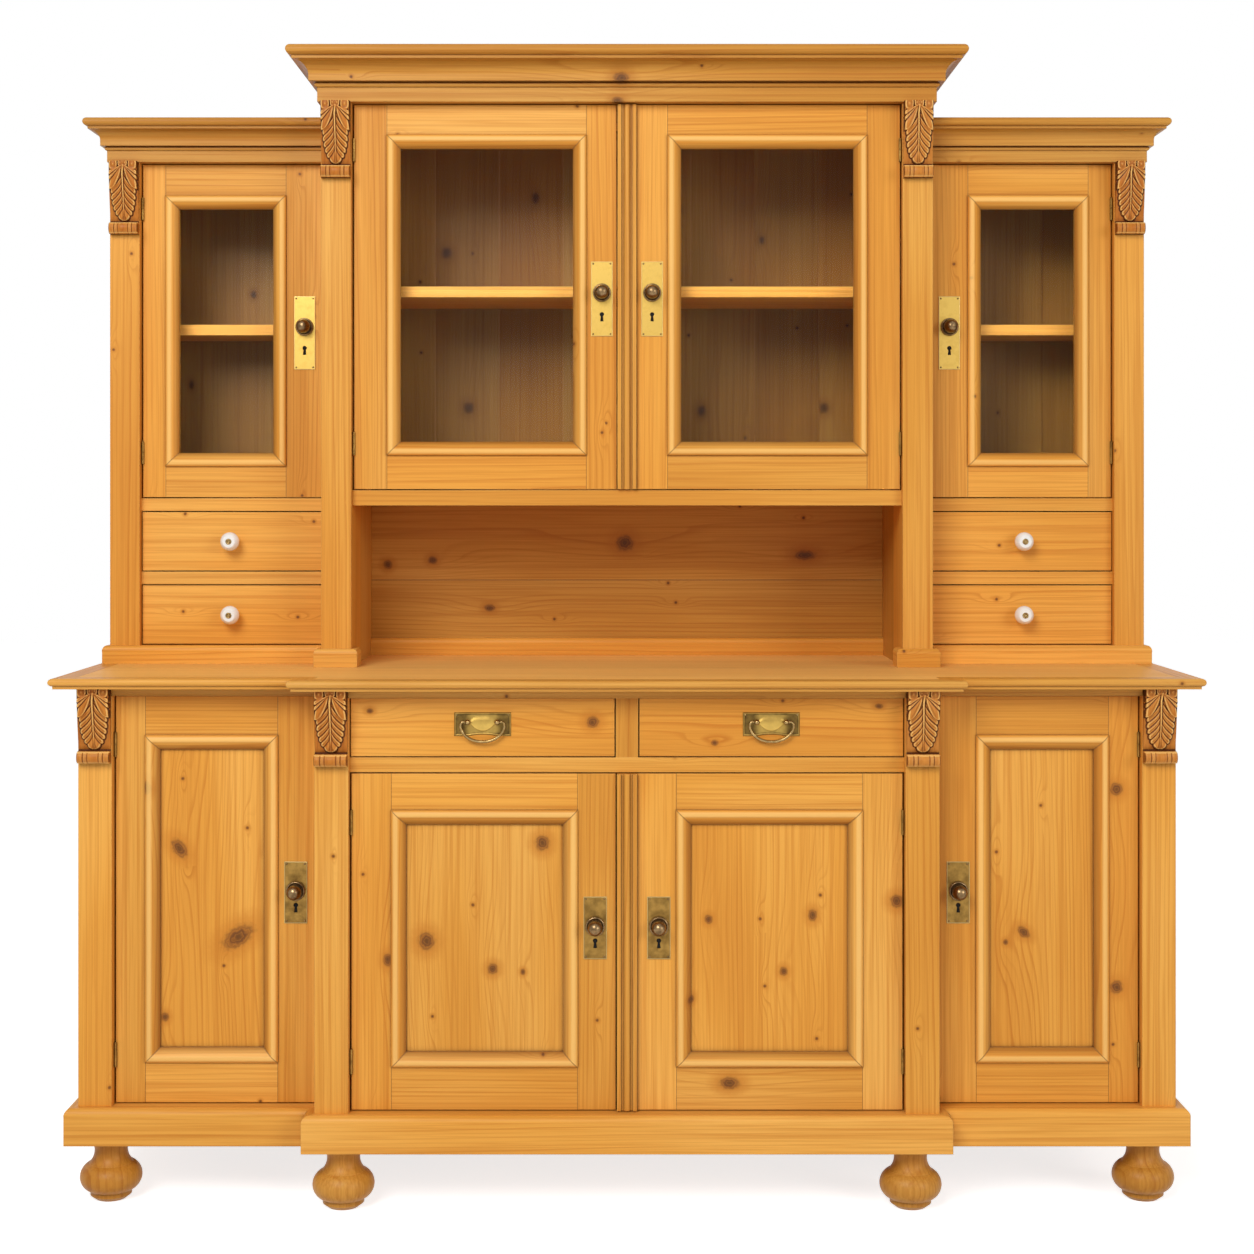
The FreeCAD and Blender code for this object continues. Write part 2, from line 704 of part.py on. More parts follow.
def knob(x, face, z):
    """Ring with a raised lip, neck and ball on a spindle that turns in the plate and the lock."""
    ring_low = plate_thickness + knuckle_clearance
    ring_high = ring_low + ring_height
    ring_floor = ring_high - ring_lip_width / 2
    lip_inner = ring_radius - ring_lip_width
    ball_low = ring_low + neck_height
    ball_middle = ball_low + math.sqrt(ball_radius ** 2 - neck_radius ** 2)
    spindle_end = door_thickness + lock_depth - plate_thickness
    return turned([(0, -spindle_end), (spindle_radius, -spindle_end), (spindle_radius, ring_low),
                   (ring_radius, ring_low), (ring_radius, ring_floor),
                   (middle(lip_inner, ring_radius), ring_high, lip_inner, ring_floor),
                   (neck_radius, ring_floor), (neck_radius, ball_low), (ball_radius, ball_middle, 0, ball_middle + ball_radius)],
                  Vec(x, depth_to_y(face), z), Vec(0, -1, 0))


def lock_fittings(x, face, z, plate_height, knob_rise, drop):
    """Back plate with a flared keyhole, and the closed lock case behind the stile."""
    knob_z = z + knob_rise
    key_z = knob_z - drop
    front = face + plate_thickness
    back = face - door_thickness
    bore = cylinder(spindle_radius + pin_clearance, Vec(x, depth_to_y(front), knob_z),
                    Vec(x, depth_to_y(back - lock_depth + plate_thickness / 2), knob_z))
    keyhole = cylinder(keyhole_radius, Vec(x, depth_to_y(front), key_z), Vec(x, depth_to_y(face), key_z))
    waist = keyhole_waist_width / 2
    foot = keyhole_foot_width / 2
    slot = outline([(-waist, 0), (waist, 0), (foot, -keyhole_slot_length), (-foot, -keyhole_slot_length)])
    slot = slot.extrude(Vec(0, -plate_thickness, 0))
    slot.translate(Vec(x, depth_to_y(face), key_z))
    plate = board((x - plate_width / 2, x + plate_width / 2), (face, front),
                  (z - plate_height / 2, z + plate_height / 2))
    case = board((x - lock_width / 2, x + lock_width / 2), (back - lock_depth, back),
                 (middle(knob_z, key_z) - lock_height / 2, middle(knob_z, key_z) + lock_height / 2))
    return [plate.cut([bore, keyhole, slot]).Solids[0], case.cut(bore).Solids[0]]


hinge_leaves = []


def hang_door(kind, x, z, face, margins, plate_inset, paired, glazed, plate_height, knob_rise, drop):
    """Both doors of a kind: frame, moulding, panel or pane, fittings and knob."""
    door_z = (z[0] + door_gap, z[1] - door_gap)
    hinge_edge = x[1] - hinge_gap
    panel_x = (x[0] + margins[0], x[1] - margins[1])
    panel_z = (z[0] + margins[3], z[1] - margins[2])
    door_q = (face - door_thickness, face)
    fill_x = (panel_x[0] + rebate_edge, panel_x[1] - rebate_edge)
    fill_z = (panel_z[0] + rebate_edge, panel_z[1] - rebate_edge)
    fill_front = face - moulding_lip_back
    fill_back = fill_front - (pane_thickness if glazed else panel_board)
    fill = board((fill_x[0] + panel_play, fill_x[1] - panel_play), (fill_back, fill_front),
                 (fill_z[0] + panel_play, fill_z[1] - panel_play))
    plate_x = x[0] + plate_inset
    plate_z = z[0] + (z[1] - z[0]) * plate_height_shares[kind]
    hinge_levels = (door_z[0] + hinge_inset, door_z[1] - hinge_inset)
    hinges = [lift_off_hinge(x[1], face, level) for level in hinge_levels]
    hinge_leaves.extend(both_sides([carcass for carcass, door in hinges]))
    spindle_hole = cylinder(spindle_hole_radius, Vec(plate_x, depth_to_y(door_q[0]), plate_z + knob_rise),
                            Vec(plate_x, depth_to_y(door_q[1]), plate_z + knob_rise))
    for side in ("left", "right"):
        has_strip = paired and side == "right"
        lock_edge = x[0] if has_strip else x[0] + door_gap
        lock_stile = board((lock_edge, panel_x[0]), door_q, door_z).cut(spindle_hole).Solids[0]
        frame = [lock_stile, board((panel_x[1], hinge_edge), door_q, door_z),
                 board(panel_x, door_q, (door_z[0], panel_z[0])),
                 board(panel_x, door_q, (panel_z[1], door_z[1]))]
        frame += door_moulding(panel_x, panel_z, face)
        frame += retaining_beads(fill_x, fill_z, (door_q[0], fill_back))
        if has_strip:
            frame += closing_strip(door_z, face)
        pieces = {"door": frame,
                  "fittings": lock_fittings(plate_x, face, plate_z, plate_height, knob_rise, drop)
                  + [door for carcass, door in hinges],
                  "knob": [knob(plate_x, face, plate_z + knob_rise)]}
        if glazed:
            pieces["glass"] = [fill]
        else:
            frame.append(fill)
        for piece, solids in pieces.items():
            nodes[f"{side}_{kind}_{piece}"] = mirrored(solids) if side == "left" else solids


strip_half = strip_width / 2
hang_door("base_side", (base_inner, base_outer), (plinth_top, base_top), base_side_face, base_side_margins,
          base_side_plate_inset, False, False, base_plate_height, base_knob_rise, base_keyhole_drop)
hang_door("base_centre", (strip_half, base_centre_half), (plinth_top, centre_head), base_centre_face,
          base_centre_margins, base_centre_plate_inset, True, False, base_plate_height, base_knob_rise,
          base_keyhole_drop)
hang_door("upper_side", tower_x, (side_sill, side_head), upper_side_face, upper_side_margins,
          upper_side_plate_inset, False, True, upper_plate_height, upper_knob_rise, upper_keyhole_drop)
hang_door("upper_centre", (strip_half, upper_centre_half), (centre_sill, centre_top), upper_centre_face,
          upper_centre_margins, upper_centre_plate_inset, True, True, upper_plate_height, upper_knob_rise,
          upper_keyhole_drop)
nodes["hinge_leaves"] = hinge_leaves


# Drawers: front, two sides, back and bottom
def drawer_box(x, z, face):
    front_x = (x[0] + drawer_gap, x[1] - drawer_gap)
    inside_x = (front_x[0] + drawer_side, front_x[1] - drawer_side)
    back = back_thickness + drawer_back_gap
    box_q = (back, face - drawer_front)
    low = z[0] + slide_gap
    high = z[1] - drawer_gap - drawer_side_drop
    bottom_low = low + drawer_bottom_rise
    bottom_high = bottom_low + drawer_bottom
    return [board(front_x, (face - drawer_front, face), (z[0] + drawer_gap, z[1] - drawer_gap)),
            board((front_x[0], inside_x[0]), box_q, (low, high)),
            board((inside_x[1], front_x[1]), box_q, (low, high)),
            board(inside_x, box_q, (bottom_low, bottom_high)),
            board(inside_x, (back, back + drawer_side), (bottom_high, high))]


def porcelain_knob(x, face, z):
    """Ball on a short neck, flat in front where the fixing screw goes in."""
    middle_h = porcelain_neck_height + math.sqrt(porcelain_radius ** 2 - porcelain_neck_radius ** 2)
    front_h = middle_h + math.sqrt(porcelain_radius ** 2 - porcelain_front_radius ** 2)
    return turned([(0, 0), (porcelain_foot_radius, 0), (porcelain_foot_radius, porcelain_foot_height),
                   (porcelain_neck_radius, porcelain_foot_height),
                   (porcelain_neck_radius, porcelain_neck_height),
                   (porcelain_radius, middle_h, porcelain_front_radius, front_h), (0, front_h)],
                  Vec(x, depth_to_y(face), z), Vec(0, -1, 0))


def handle_plate(x, face, z):
    """Stamped plate, hollowed along its foot, and the two drilled posts that hold the bail."""
    half_x = handle_plate_width / 2
    half_z = handle_plate_height / 2
    dip_x = half_x * handle_dip_share
    sheet = outline([(-half_x, -half_z), (-half_x, half_z), (half_x, half_z), (half_x, -half_z),
                    (dip_x, -half_z), (0, handle_dip - half_z, -dip_x, -half_z)])
    plate = sheet.extrude(Vec(0, -handle_plate_thickness, 0))
    plate.translate(Vec(x, depth_to_y(face), z))
    pieces = [plate]
    pivot_z = z + handle_pivot_rise
    for end in (-1, 1):
        pivot_x = x + end * handle_pivot_spacing / 2
        post = turned([(0, handle_plate_thickness), (handle_post_radius, handle_plate_thickness),
                       (handle_post_radius, handle_post_length),
                       quarter(handle_post_radius, handle_post_length, 0,
                               handle_post_length + handle_post_radius)],
                      Vec(pivot_x, depth_to_y(face), pivot_z), Vec(0, -1, 0))
        y = depth_to_y(face + bail_axis_rise)
        hole = cylinder(bail_pin_radius + pin_clearance, Vec(pivot_x - handle_post_radius, y, pivot_z),
                        Vec(pivot_x + handle_post_radius, y, pivot_z))
        pieces.append(post.cut(hole).Solids[0])
    return pieces


def bail(x, face, z):
    """Bent wire with a thinner pin at each end, hanging from the two posts."""
    pivot = handle_pivot_spacing / 2
    high = z + handle_pivot_rise
    low = high - bail_drop
    y = depth_to_y(face + bail_axis_rise)
    pin_inner = pivot - handle_post_radius - knuckle_gap
    shoulder = pivot + handle_post_radius + knuckle_gap
    turn = pivot + handle_post_radius + bail_shoulder
    sweep = (turn ** 2 + bail_drop ** 2 - 2 * bail_drop * bail_corner) / (2 * (bail_drop - 2 * bail_corner))
    lean = math.atan2(turn, bail_drop - bail_corner - sweep)

    def at(across, height):
        return Vec(across, y, height)

    def on_corner(angle):
        return at(turn + bail_corner * math.sin(angle), high - bail_corner + bail_corner * math.cos(angle))

    def on_sweep(angle):
        return at(sweep * math.sin(angle), low + sweep + sweep * math.cos(angle))

    path = Part.Wire([
        Part.LineSegment(at(shoulder, high), at(turn, high)).toShape(),
        Part.Arc(at(turn, high), on_corner(lean / 2), on_corner(lean)).toShape(),
        Part.Arc(on_corner(lean), on_sweep(middle(lean, math.pi)), at(0, low)).toShape()])
    rim = []
    for i in range(bail_sides + 1):
        angle = 2 * math.pi * (i + 1 / 2) / bail_sides
        rim.append(Vec(shoulder, y + bail_radius * math.cos(angle), high + bail_radius * math.sin(angle)))
    half = path.makePipeShell([Part.makePolygon(rim)], True, False)
    pin = cylinder(bail_pin_radius, at(pin_inner, high), at(shoulder, high))
    halves = both_sides([half, pin])
    solid = fused(*halves)
    solid.translate(Vec(x, 0, 0))
    return solid


drawers = {"small_upper": (tower_x, (small_sill_2, small_rail_2), upper_side_face),
           "small_lower": (tower_x, (upper_floor, small_rail_1), upper_side_face),
           "wide": ((divider_half, base_centre_half), (drawer_sill, base_top), base_centre_face)}
for kind, (x, z, face) in drawers.items():
    pieces = {"drawer": drawer_box(x, z, face)}
    if kind == "wide":
        handle_z = middle(*z) + handle_rise
        pieces["drawer_handle_plate"] = handle_plate(middle(*x), face, handle_z)
        pieces["drawer_bail"] = [bail(middle(*x), face, handle_z)]
    else:
        pieces["drawer_knob"] = [porcelain_knob(middle(*x) + porcelain_offset, face, middle(*z))]
    for piece, solids in pieces.items():
        nodes[f"right_{kind}_{piece}"] = solids
        nodes[f"left_{kind}_{piece}"] = mirrored(solids)

# One file per node, each piece a solid of its own
os.makedirs("parts", exist_ok=True)
for name, solids in nodes.items():
    Part.makeCompound(solids).exportStep(f"parts/{name}.step")
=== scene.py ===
"""Looks of the breakfront pine dresser: waxed pine, carving, brass, porcelain, glass, camera and light.

Lengths are in metres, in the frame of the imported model: X to the right, Z up, the front facing -Y.
"""
import json
import math
import bpy
import bmesh
from mathutils import Matrix, Vector


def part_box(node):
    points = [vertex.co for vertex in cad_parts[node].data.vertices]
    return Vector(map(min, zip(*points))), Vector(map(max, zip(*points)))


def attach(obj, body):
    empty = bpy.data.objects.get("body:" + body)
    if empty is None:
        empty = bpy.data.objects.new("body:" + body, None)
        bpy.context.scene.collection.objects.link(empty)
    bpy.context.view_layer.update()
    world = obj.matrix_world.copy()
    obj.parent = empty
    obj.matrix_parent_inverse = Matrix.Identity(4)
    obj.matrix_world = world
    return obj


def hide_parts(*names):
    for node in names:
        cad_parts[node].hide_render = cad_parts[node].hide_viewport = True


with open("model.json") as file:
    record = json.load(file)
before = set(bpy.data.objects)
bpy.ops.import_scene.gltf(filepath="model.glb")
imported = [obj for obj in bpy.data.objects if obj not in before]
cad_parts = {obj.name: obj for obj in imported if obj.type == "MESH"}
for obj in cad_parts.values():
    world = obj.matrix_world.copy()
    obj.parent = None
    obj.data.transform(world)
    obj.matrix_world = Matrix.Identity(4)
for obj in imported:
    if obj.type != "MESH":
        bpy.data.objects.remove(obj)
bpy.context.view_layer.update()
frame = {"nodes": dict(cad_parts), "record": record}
nodes = frame["nodes"]
SIDES = ("left", "right")
MM = 0.001


def linear(*channels):
    """Scene-linear RGBA of a colour written as it looks on a screen."""
    straight = [c / 12.92 if c <= 0.04045 else ((c + 0.055) / 1.055) ** 2.4 for c in channels]
    return (*straight, 1.0)


# Colours as they look on the object
HONEY = linear(0.90, 0.63, 0.25)
PALE_HONEY = linear(0.94, 0.70, 0.34)
AMBER = linear(0.78, 0.485, 0.15)
GRAIN_BROWN = linear(0.73, 0.42, 0.10)
KNOT_BROWN = linear(0.36, 0.19, 0.09)
KNOT_EDGE = linear(0.22, 0.11, 0.05)
OLD_BRASS = linear(0.60, 0.465, 0.235)
OLD_BRASS_DARK = linear(0.45, 0.34, 0.165)
NEW_BRASS = linear(0.82, 0.675, 0.345)
NEW_BRASS_DULL = linear(0.70, 0.56, 0.26)
# Pale brass of the painted highlight along a plate's edge
BRASS_RIM_HIGHLIGHT = linear(0.95, 0.88, 0.62)
BRONZE = linear(0.54, 0.44, 0.31)
BRONZE_DARK = linear(0.30, 0.225, 0.14)
WORN_BRASS = linear(0.63, 0.53, 0.35)
BLACKENED = linear(0.10, 0.075, 0.045)
STAMPED_DARK = linear(0.28, 0.205, 0.11)
PORCELAIN = linear(0.93, 0.93, 0.91)
PORCELAIN_PALE = linear(0.96, 0.955, 0.94)
CARVED_STAIN = linear(0.93, 0.82, 0.72)
# Dark of the carving's hollows: partly dirt, partly painted shade
CARVED_HOLLOW = linear(0.29, 0.13, 0.03)
# Dark brown of joint lines, and of painted shade in crevices and along moulding lips
JOINT_DIRT_AND_SHADE_BROWN = linear(0.40, 0.19, 0.035)
# Pale honey of painted highlights on edges, moulding crests and carved crests
HIGHLIGHT_HONEY = linear(0.99, 0.79, 0.46)
# Pale of the painted sheen that the worktop's top is mixed toward
PAINTED_SHEEN_PALE = linear(0.95, 0.78, 0.48)
# Near black of the painted shadow inside a keyhole
KEYHOLE_SHADOW = linear(0.02, 0.018, 0.015)
KEYHOLE_SHADOW_PALE = linear(0.05, 0.04, 0.03)
PANE = linear(0.97, 0.98, 0.97)
FLOOR_GREY = linear(0.88, 0.88, 0.88)
FLOOR_PALE = linear(0.9, 0.9, 0.9)
# Scene-linear colours
WHITE = (1.0, 1.0, 1.0, 1.0)
PANE_SHADOW = (0.9, 0.9, 0.9, 1.0)
# Sockets of a node that mixes colours
MIX_SHARE, MIX_FIRST, MIX_SECOND, MIX_RESULT = 0, 6, 7, 2


class Nodes:
    """A node tree under construction, with short calls to add and join its nodes."""

    def __init__(self, tree):
        self.tree = tree

    def put(self, socket, value):
        if isinstance(value, bpy.types.NodeSocket):
            self.tree.links.new(value, socket)
        else:
            socket.default_value = value

    def add(self, kind, inputs=None, **settings):
        node = self.tree.nodes.new(kind)
        for key, value in settings.items():
            setattr(node, key, value)
        for key, value in (inputs or {}).items():
            self.put(node.inputs[key], value)
        return node

    def math(self, operation, first, second=0.0):
        return self.add("ShaderNodeMath", {0: first, 1: second}, operation=operation).outputs[0]


class Shader(Nodes):
    """A material under construction."""

    def __init__(self, name):
        self.material = bpy.data.materials.new(name)
        self.material.use_nodes = True
        super().__init__(self.material.node_tree)
        self.surface = self.tree.nodes["Principled BSDF"]
        self.coordinates = self.add("ShaderNodeTexCoord").outputs
        self.where = self.coordinates["Object"]

    def vector(self, operation, first, second=(0.0, 0.0, 0.0)):
        node = self.add("ShaderNodeVectorMath", {0: first, 1: second}, operation=operation)
        return node.outputs["Value" if operation in ("LENGTH", "DOT_PRODUCT") else "Vector"]

    def mix(self, share, first, second, blend="MIX"):
        node = self.add("ShaderNodeMix", data_type="RGBA", blend_type=blend)
        for index, value in ((MIX_SHARE, share), (MIX_FIRST, first), (MIX_SECOND, second)):
            self.put(node.inputs[index], value)
        return node.outputs[MIX_RESULT]

    def noise(self, vector, scale=1.0, detail=2.0, roughness=0.5):
        node = self.add("ShaderNodeTexNoise", {"Vector": vector, "Scale": scale, "Detail": detail,
                                               "Roughness": roughness})
        return node.outputs["Fac"]

    def spread(self, value, low, high, new_low, new_high, smooth=False):
        """Maps a value from one range to another, held at the ends."""
        node = self.add("ShaderNodeMapRange", {"Value": value, "From Min": low, "From Max": high,
                                               "To Min": new_low, "To Max": new_high},
                        interpolation_type="SMOOTHSTEP" if smooth else "LINEAR")
        return node.outputs[0]

    def bump(self, height, strength, distance, normal=None):
        node = self.add("ShaderNodeBump", {"Height": height, "Strength": strength, "Distance": distance})
        if normal is not None:
            self.put(node.inputs["Normal"], normal)
        return node.outputs["Normal"]

    def finish(self, **inputs):
        for key, value in inputs.items():
            self.put(self.surface.inputs[key.replace("_", " ")], value)
        return self.material


# Knots that show in the photo: X, Z, half width, half height, tilt in degrees
KNOTS = {
    "left_base_side_door": [
        (-0.766, 0.600, 0.013, 0.021, -35), (-0.666, 0.449, 0.019, 0.034, 55),
        (-0.791, 0.312, 0.008, 0.009, 0), (-0.819, 0.706, 0.009, 0.013, 0)],
    "left_base_centre_door": [
        (-0.339, 0.451, 0.016, 0.018, 0), (-0.143, 0.617, 0.014, 0.015, 0),
        (-0.227, 0.404, 0.010, 0.011, 0), (-0.176, 0.399, 0.005, 0.006, 0),
        (-0.404, 0.421, 0.009, 0.013, 0)],
    "right_base_centre_door": [
        (0.138, 0.488, 0.008, 0.009, 0), (0.314, 0.495, 0.009, 0.012, 0),
        (0.265, 0.400, 0.008, 0.009, 0), (0.108, 0.353, 0.006, 0.009, 20),
        (0.173, 0.213, 0.019, 0.012, 0), (0.455, 0.520, 0.013, 0.013, 0)],
    "right_base_side_door": [
        (0.679, 0.457, 0.009, 0.014, -50), (0.648, 0.440, 0.005, 0.006, 0),
        (0.836, 0.703, 0.013, 0.013, 0), (0.836, 0.365, 0.013, 0.013, 0)],
    "left_wide_drawer": [
        (-0.058, 0.822, 0.013, 0.012, 0), (-0.434, 0.841, 0.007, 0.005, 0)],
    "right_wide_drawer": [
        (0.148, 0.787, 0.007, 0.006, 0), (0.425, 0.849, 0.008, 0.005, 0)],
    "upper_back_boards": [
        (-0.378, 1.080, 0.010, 0.009, 0), (-0.004, 1.113, 0.020, 0.018, 0),
        (0.346, 1.090, 0.024, 0.011, 0), (-0.267, 0.987, 0.012, 0.008, 0),
        (-0.465, 1.071, 0.010, 0.010, 0), (-0.351, 1.677, 0.012, 0.013, 0),
        (-0.178, 1.784, 0.009, 0.013, 0), (-0.308, 1.376, 0.012, 0.013, 0),
        (0.145, 1.370, 0.010, 0.014, 0), (0.383, 1.376, 0.011, 0.012, 0),
        (0.262, 1.702, 0.006, 0.009, 0), (-0.726, 1.596, 0.007, 0.009, 0),
        (-0.847, 1.421, 0.006, 0.010, 0)],
    "cornice": [
        (-0.010, 1.954, 0.016, 0.012, 0), (-0.017, 1.916, 0.012, 0.008, 0)]}

FAR = 10.0
# Growth lines in a metre across the face of a board, and through its thickness, for each way of the grain
LINES_ACROSS = {"x": (0.0, 60.0, 110.0), "y": (110.0, 0.0, 60.0), "z": (110.0, 60.0, 0.0)}
# Waves in a metre of each noise, along the grain and across it
BEND_WAVES = (0.2, 4.2)
WOBBLE_WAVES = (3.0, 60.0)
FIBRE_WAVES = (5.0, 330.0)
STREAK_WAVES = (0.9, 120.0)
CLOUD_WAVES = (1.0, 5.0)
# Detail and roughness of the bend, and detail of the streaks
BEND_NOISE = (1.5, 0.4)
STREAK_DETAIL = 3.0
# How many growth lines the bend and the wobble shift
BEND_LINES = 24.0
WOBBLE_LINES = 0.9
# Pin knots: cells in a metre along and across the grain, half size, the share of cells that have one, and
# how squarely a face has to look to the front or back
PIN_CELLS = (3.4, 8.0)
PIN_SIZE = 0.0034
PIN_SHARE = 0.6
FACING_SHARE = 0.7
# Growth lines bulge round a knot, and the knot has a ragged edge and rings of its own
FLOW_SHARE = 0.3
KNOT_FLOW = 2.6
KNOT_RINGS = 2.2
KNOT_RAGGED = 0.5
KNOT_TURNS = 3.1
KNOT_COVER_SHARE = 0.85
RAGGED_WAVES = 140.0
NOISE_MIDDLE_SHARE = 0.5
EDGE_ROUNDING = 0.0022
EDGE_SAMPLES = 2
CREVICE_DEPTH = 0.011
CREVICE_SAMPLES = 4
JOINT_LINE = 0.0014
# Spreads: two ends of a range, and what each end gives
LATE_RISE = (0.5, 0.9, 0.0, 1.0)
LATE_FALL = (0.9, 1.0, 1.0, 0.0)
LINE_STRENGTH = (0.0, 1.0, 0.1, 1.0)
CLOUD_AMBER = (0.25, 0.5, 0.55, 0.0)
CLOUD_PALE = (0.45, 0.7, 0.0, 1.0)
CLOUD_LINES = (0.3, 0.7, 0.75, 0.15)
FIBRE_AMBER = (0.45, 0.7, 0.0, 0.42)
STREAK_AMBER = (0.5, 0.68, 0.0, 0.45)
KNOT_HALO = (0.9, 2.4, 0.6, 0.0)
KNOT_CORE = (0.45, 1.15, 1.0, 0.0)
KNOT_TURN_AMBER = (0.3, 0.9, 0.0, 0.45)
KNOT_HEART = (0.15, 0.45, 0.7, 0.0)
# Carving: painted highlights on the crests, dirt and painted shade in the hollows
CARVED_PAINTED_HIGHLIGHTS = (0.45, 0.15, 0.0, 0.85)
CARVED_HOLLOW_DIRT_AND_SHADE = (0.48, 0.75, 0.0, 1.0)
# Painted highlight on a moulding's crest, and painted shadow along its lip
CREST_RISE = (0.04, 0.2, 0.0, 0.7)
CREST_FALL = (0.4, 0.55, 1.0, 0.0)
LIP_PAINTED_SHADOW = (0.6, 1.0, 0.0, 0.6)
JOINT_DIRT = (JOINT_LINE / 2, JOINT_LINE, 0.7, 0.0)
# Painted highlight along edges
EDGE_PAINTED_HIGHLIGHT = (0.1, 0.6, 0.0, 0.5)
# Painted shade in crevices
CREVICE_PAINTED_SHADE = (0.3, 0.85, 0.9, 0.0)
PINE_ROUGHNESS = (0.3, 0.7, 0.38, 0.5)
# Relief of the grain under the wax
FIBRE_RELIEF_SHARE = 0.6
LINE_RELIEF_SHARE = 0.5
GRAIN_STRENGTH = 0.25
GRAIN_DEPTH = 0.0004
WAX_SHEEN = 0.22
# Boards take turns at these places in the noise and at these tones
SHIFTS = ((7.3, 1.9, 5.7), (3.1, 8.2, 2.9), (12.7, 4.4, 9.3), (5.9, 10.6, 14.2), (9.8, 6.1, 0.7))
TONES = (1.0, 0.94, 1.03, 0.97, 1.05)
# Digits to which corners are matched, and to which joints are placed
CORNER_DIGITS = 6
JOINT_DIGITS = 5


def along_grain(grain, along, across):
    """Scale that is one number along the grain and another across it."""
    return tuple(along if axis == grain else across for axis in "xyz")


def axis_across(grain):
    """Axis of a board's face that runs across its grain: 2 for Z and 0 for X."""
    return 2 if grain == "x" else 0


def inside(s, places, axis, low, high):
    """How far inside a box a place is along one axis."""
    return s.math("MINIMUM", s.math("SUBTRACT", places[axis], low[axis]),
                  s.math("SUBTRACT", high[axis], places[axis]))


def joint_gap(s, grain, joint):
    """Distance from a board's joints with its neighbours: square ends, mitred ends or long edges."""
    kind, low, high, outer = joint
    places = s.add("ShaderNodeSeparateXYZ", {0: s.where}).outputs
    across = axis_across(grain)
    axis = across if kind == "edges" else "xyz".index(grain)
    gap = inside(s, places, axis, low, high)
    if kind == "mitre":
        gap = s.math("SUBTRACT", gap, s.math("ABSOLUTE", s.math("SUBTRACT", places[across], outer)))
    return gap


def moulding_depth(s, grain, joint):
    """Share of the way from the outer edge of a mitred moulding to the panel."""
    _, low, high, outer = joint
    across = axis_across(grain)
    place = s.add("ShaderNodeSeparateXYZ", {0: s.where}).outputs[across]
    gap = s.math("ABSOLUTE", s.math("SUBTRACT", place, outer))
    return s.math("DIVIDE", gap, high[across] - low[across])


def pin_knots(s, place, grain):
    """Distance from the pin knots of a board in half sizes, and one stretched along the grain."""
    cell_x, _, cell_z = along_grain(grain, *PIN_CELLS)
    cells = s.vector("MULTIPLY", place, (cell_x, 0.0, cell_z))
    voronoi = s.add("ShaderNodeTexVoronoi", {"Vector": cells, "Scale": 1.0})
    away = s.vector("SUBTRACT", cells, voronoi.outputs["Position"])
    away = s.vector("MULTIPLY", away, (1 / (PIN_SIZE * cell_x), 0.0, 1 / (PIN_SIZE * cell_z)))
    flow = s.vector("MULTIPLY", away, along_grain(grain, FLOW_SHARE, 1.0))
    # They show on the front and back of a board, and in some cells only
    facing = s.math("ABSOLUTE", s.add("ShaderNodeSeparateXYZ", {0: s.coordinates["Normal"]}).outputs["Y"])
    pick = s.add("ShaderNodeSeparateColor", {0: voronoi.outputs["Color"]}).outputs["Red"]
    absent = s.math("MAXIMUM", s.math("LESS_THAN", facing, FACING_SHARE),
                    s.math("GREATER_THAN", pick, PIN_SHARE))
    absent = s.math("MULTIPLY", absent, FAR)
    return [s.math("ADD", s.vector("LENGTH", offset), absent) for offset in (away, flow)]


def knot_distances(s, grain, knot):
    """Distance from one knot in its half sizes, and one stretched along the grain."""
    x, z, half_x, half_z, tilt = knot
    local = s.add("ShaderNodeMapping", {"Vector": s.where, "Location": (x, 0, z),
                                        "Rotation": (0, math.radians(tilt), 0),
                                        "Scale": (half_x, FAR, half_z)}, vector_type="TEXTURE")
    size = (half_x + half_z) / 2
    flow_scale = [size / v for v in along_grain(grain, FLOW_SHARE, 1.0)]
    flow_scale[1] = FAR
    flow = s.add("ShaderNodeMapping", {"Vector": s.where, "Location": (x, 0, z), "Scale": flow_scale},
                 vector_type="TEXTURE")
    return [s.vector("LENGTH", mapping.outputs[0]) for mapping in (local, flow)]


def carved_tones(s, wood):
    """Carving under a stain, with painted highlights on its crests and dark hollows that are partly dirt and
    partly painted shade.
    """
    depth = s.add("ShaderNodeAttribute", attribute_name="hollow").outputs["Fac"]
    wood = s.mix(1.0, wood, CARVED_STAIN, "MULTIPLY")
    wood = s.mix(s.spread(depth, *CARVED_PAINTED_HIGHLIGHTS), wood, HIGHLIGHT_HONEY)
    return s.mix(s.spread(depth, *CARVED_HOLLOW_DIRT_AND_SHADE), wood, CARVED_HOLLOW)


def moulding_tones(s, wood, grain, joint):
    """Moulding with a painted highlight on its crest, and a painted shadow along its lip by the panel."""
    depth = moulding_depth(s, grain, joint)
    crest = s.math("MULTIPLY", s.spread(depth, *CREST_RISE), s.spread(depth, *CREST_FALL))
    wood = s.mix(crest, wood, HIGHLIGHT_HONEY)
    return s.mix(s.spread(depth, *LIP_PAINTED_SHADOW), wood, JOINT_DIRT_AND_SHADE_BROWN)


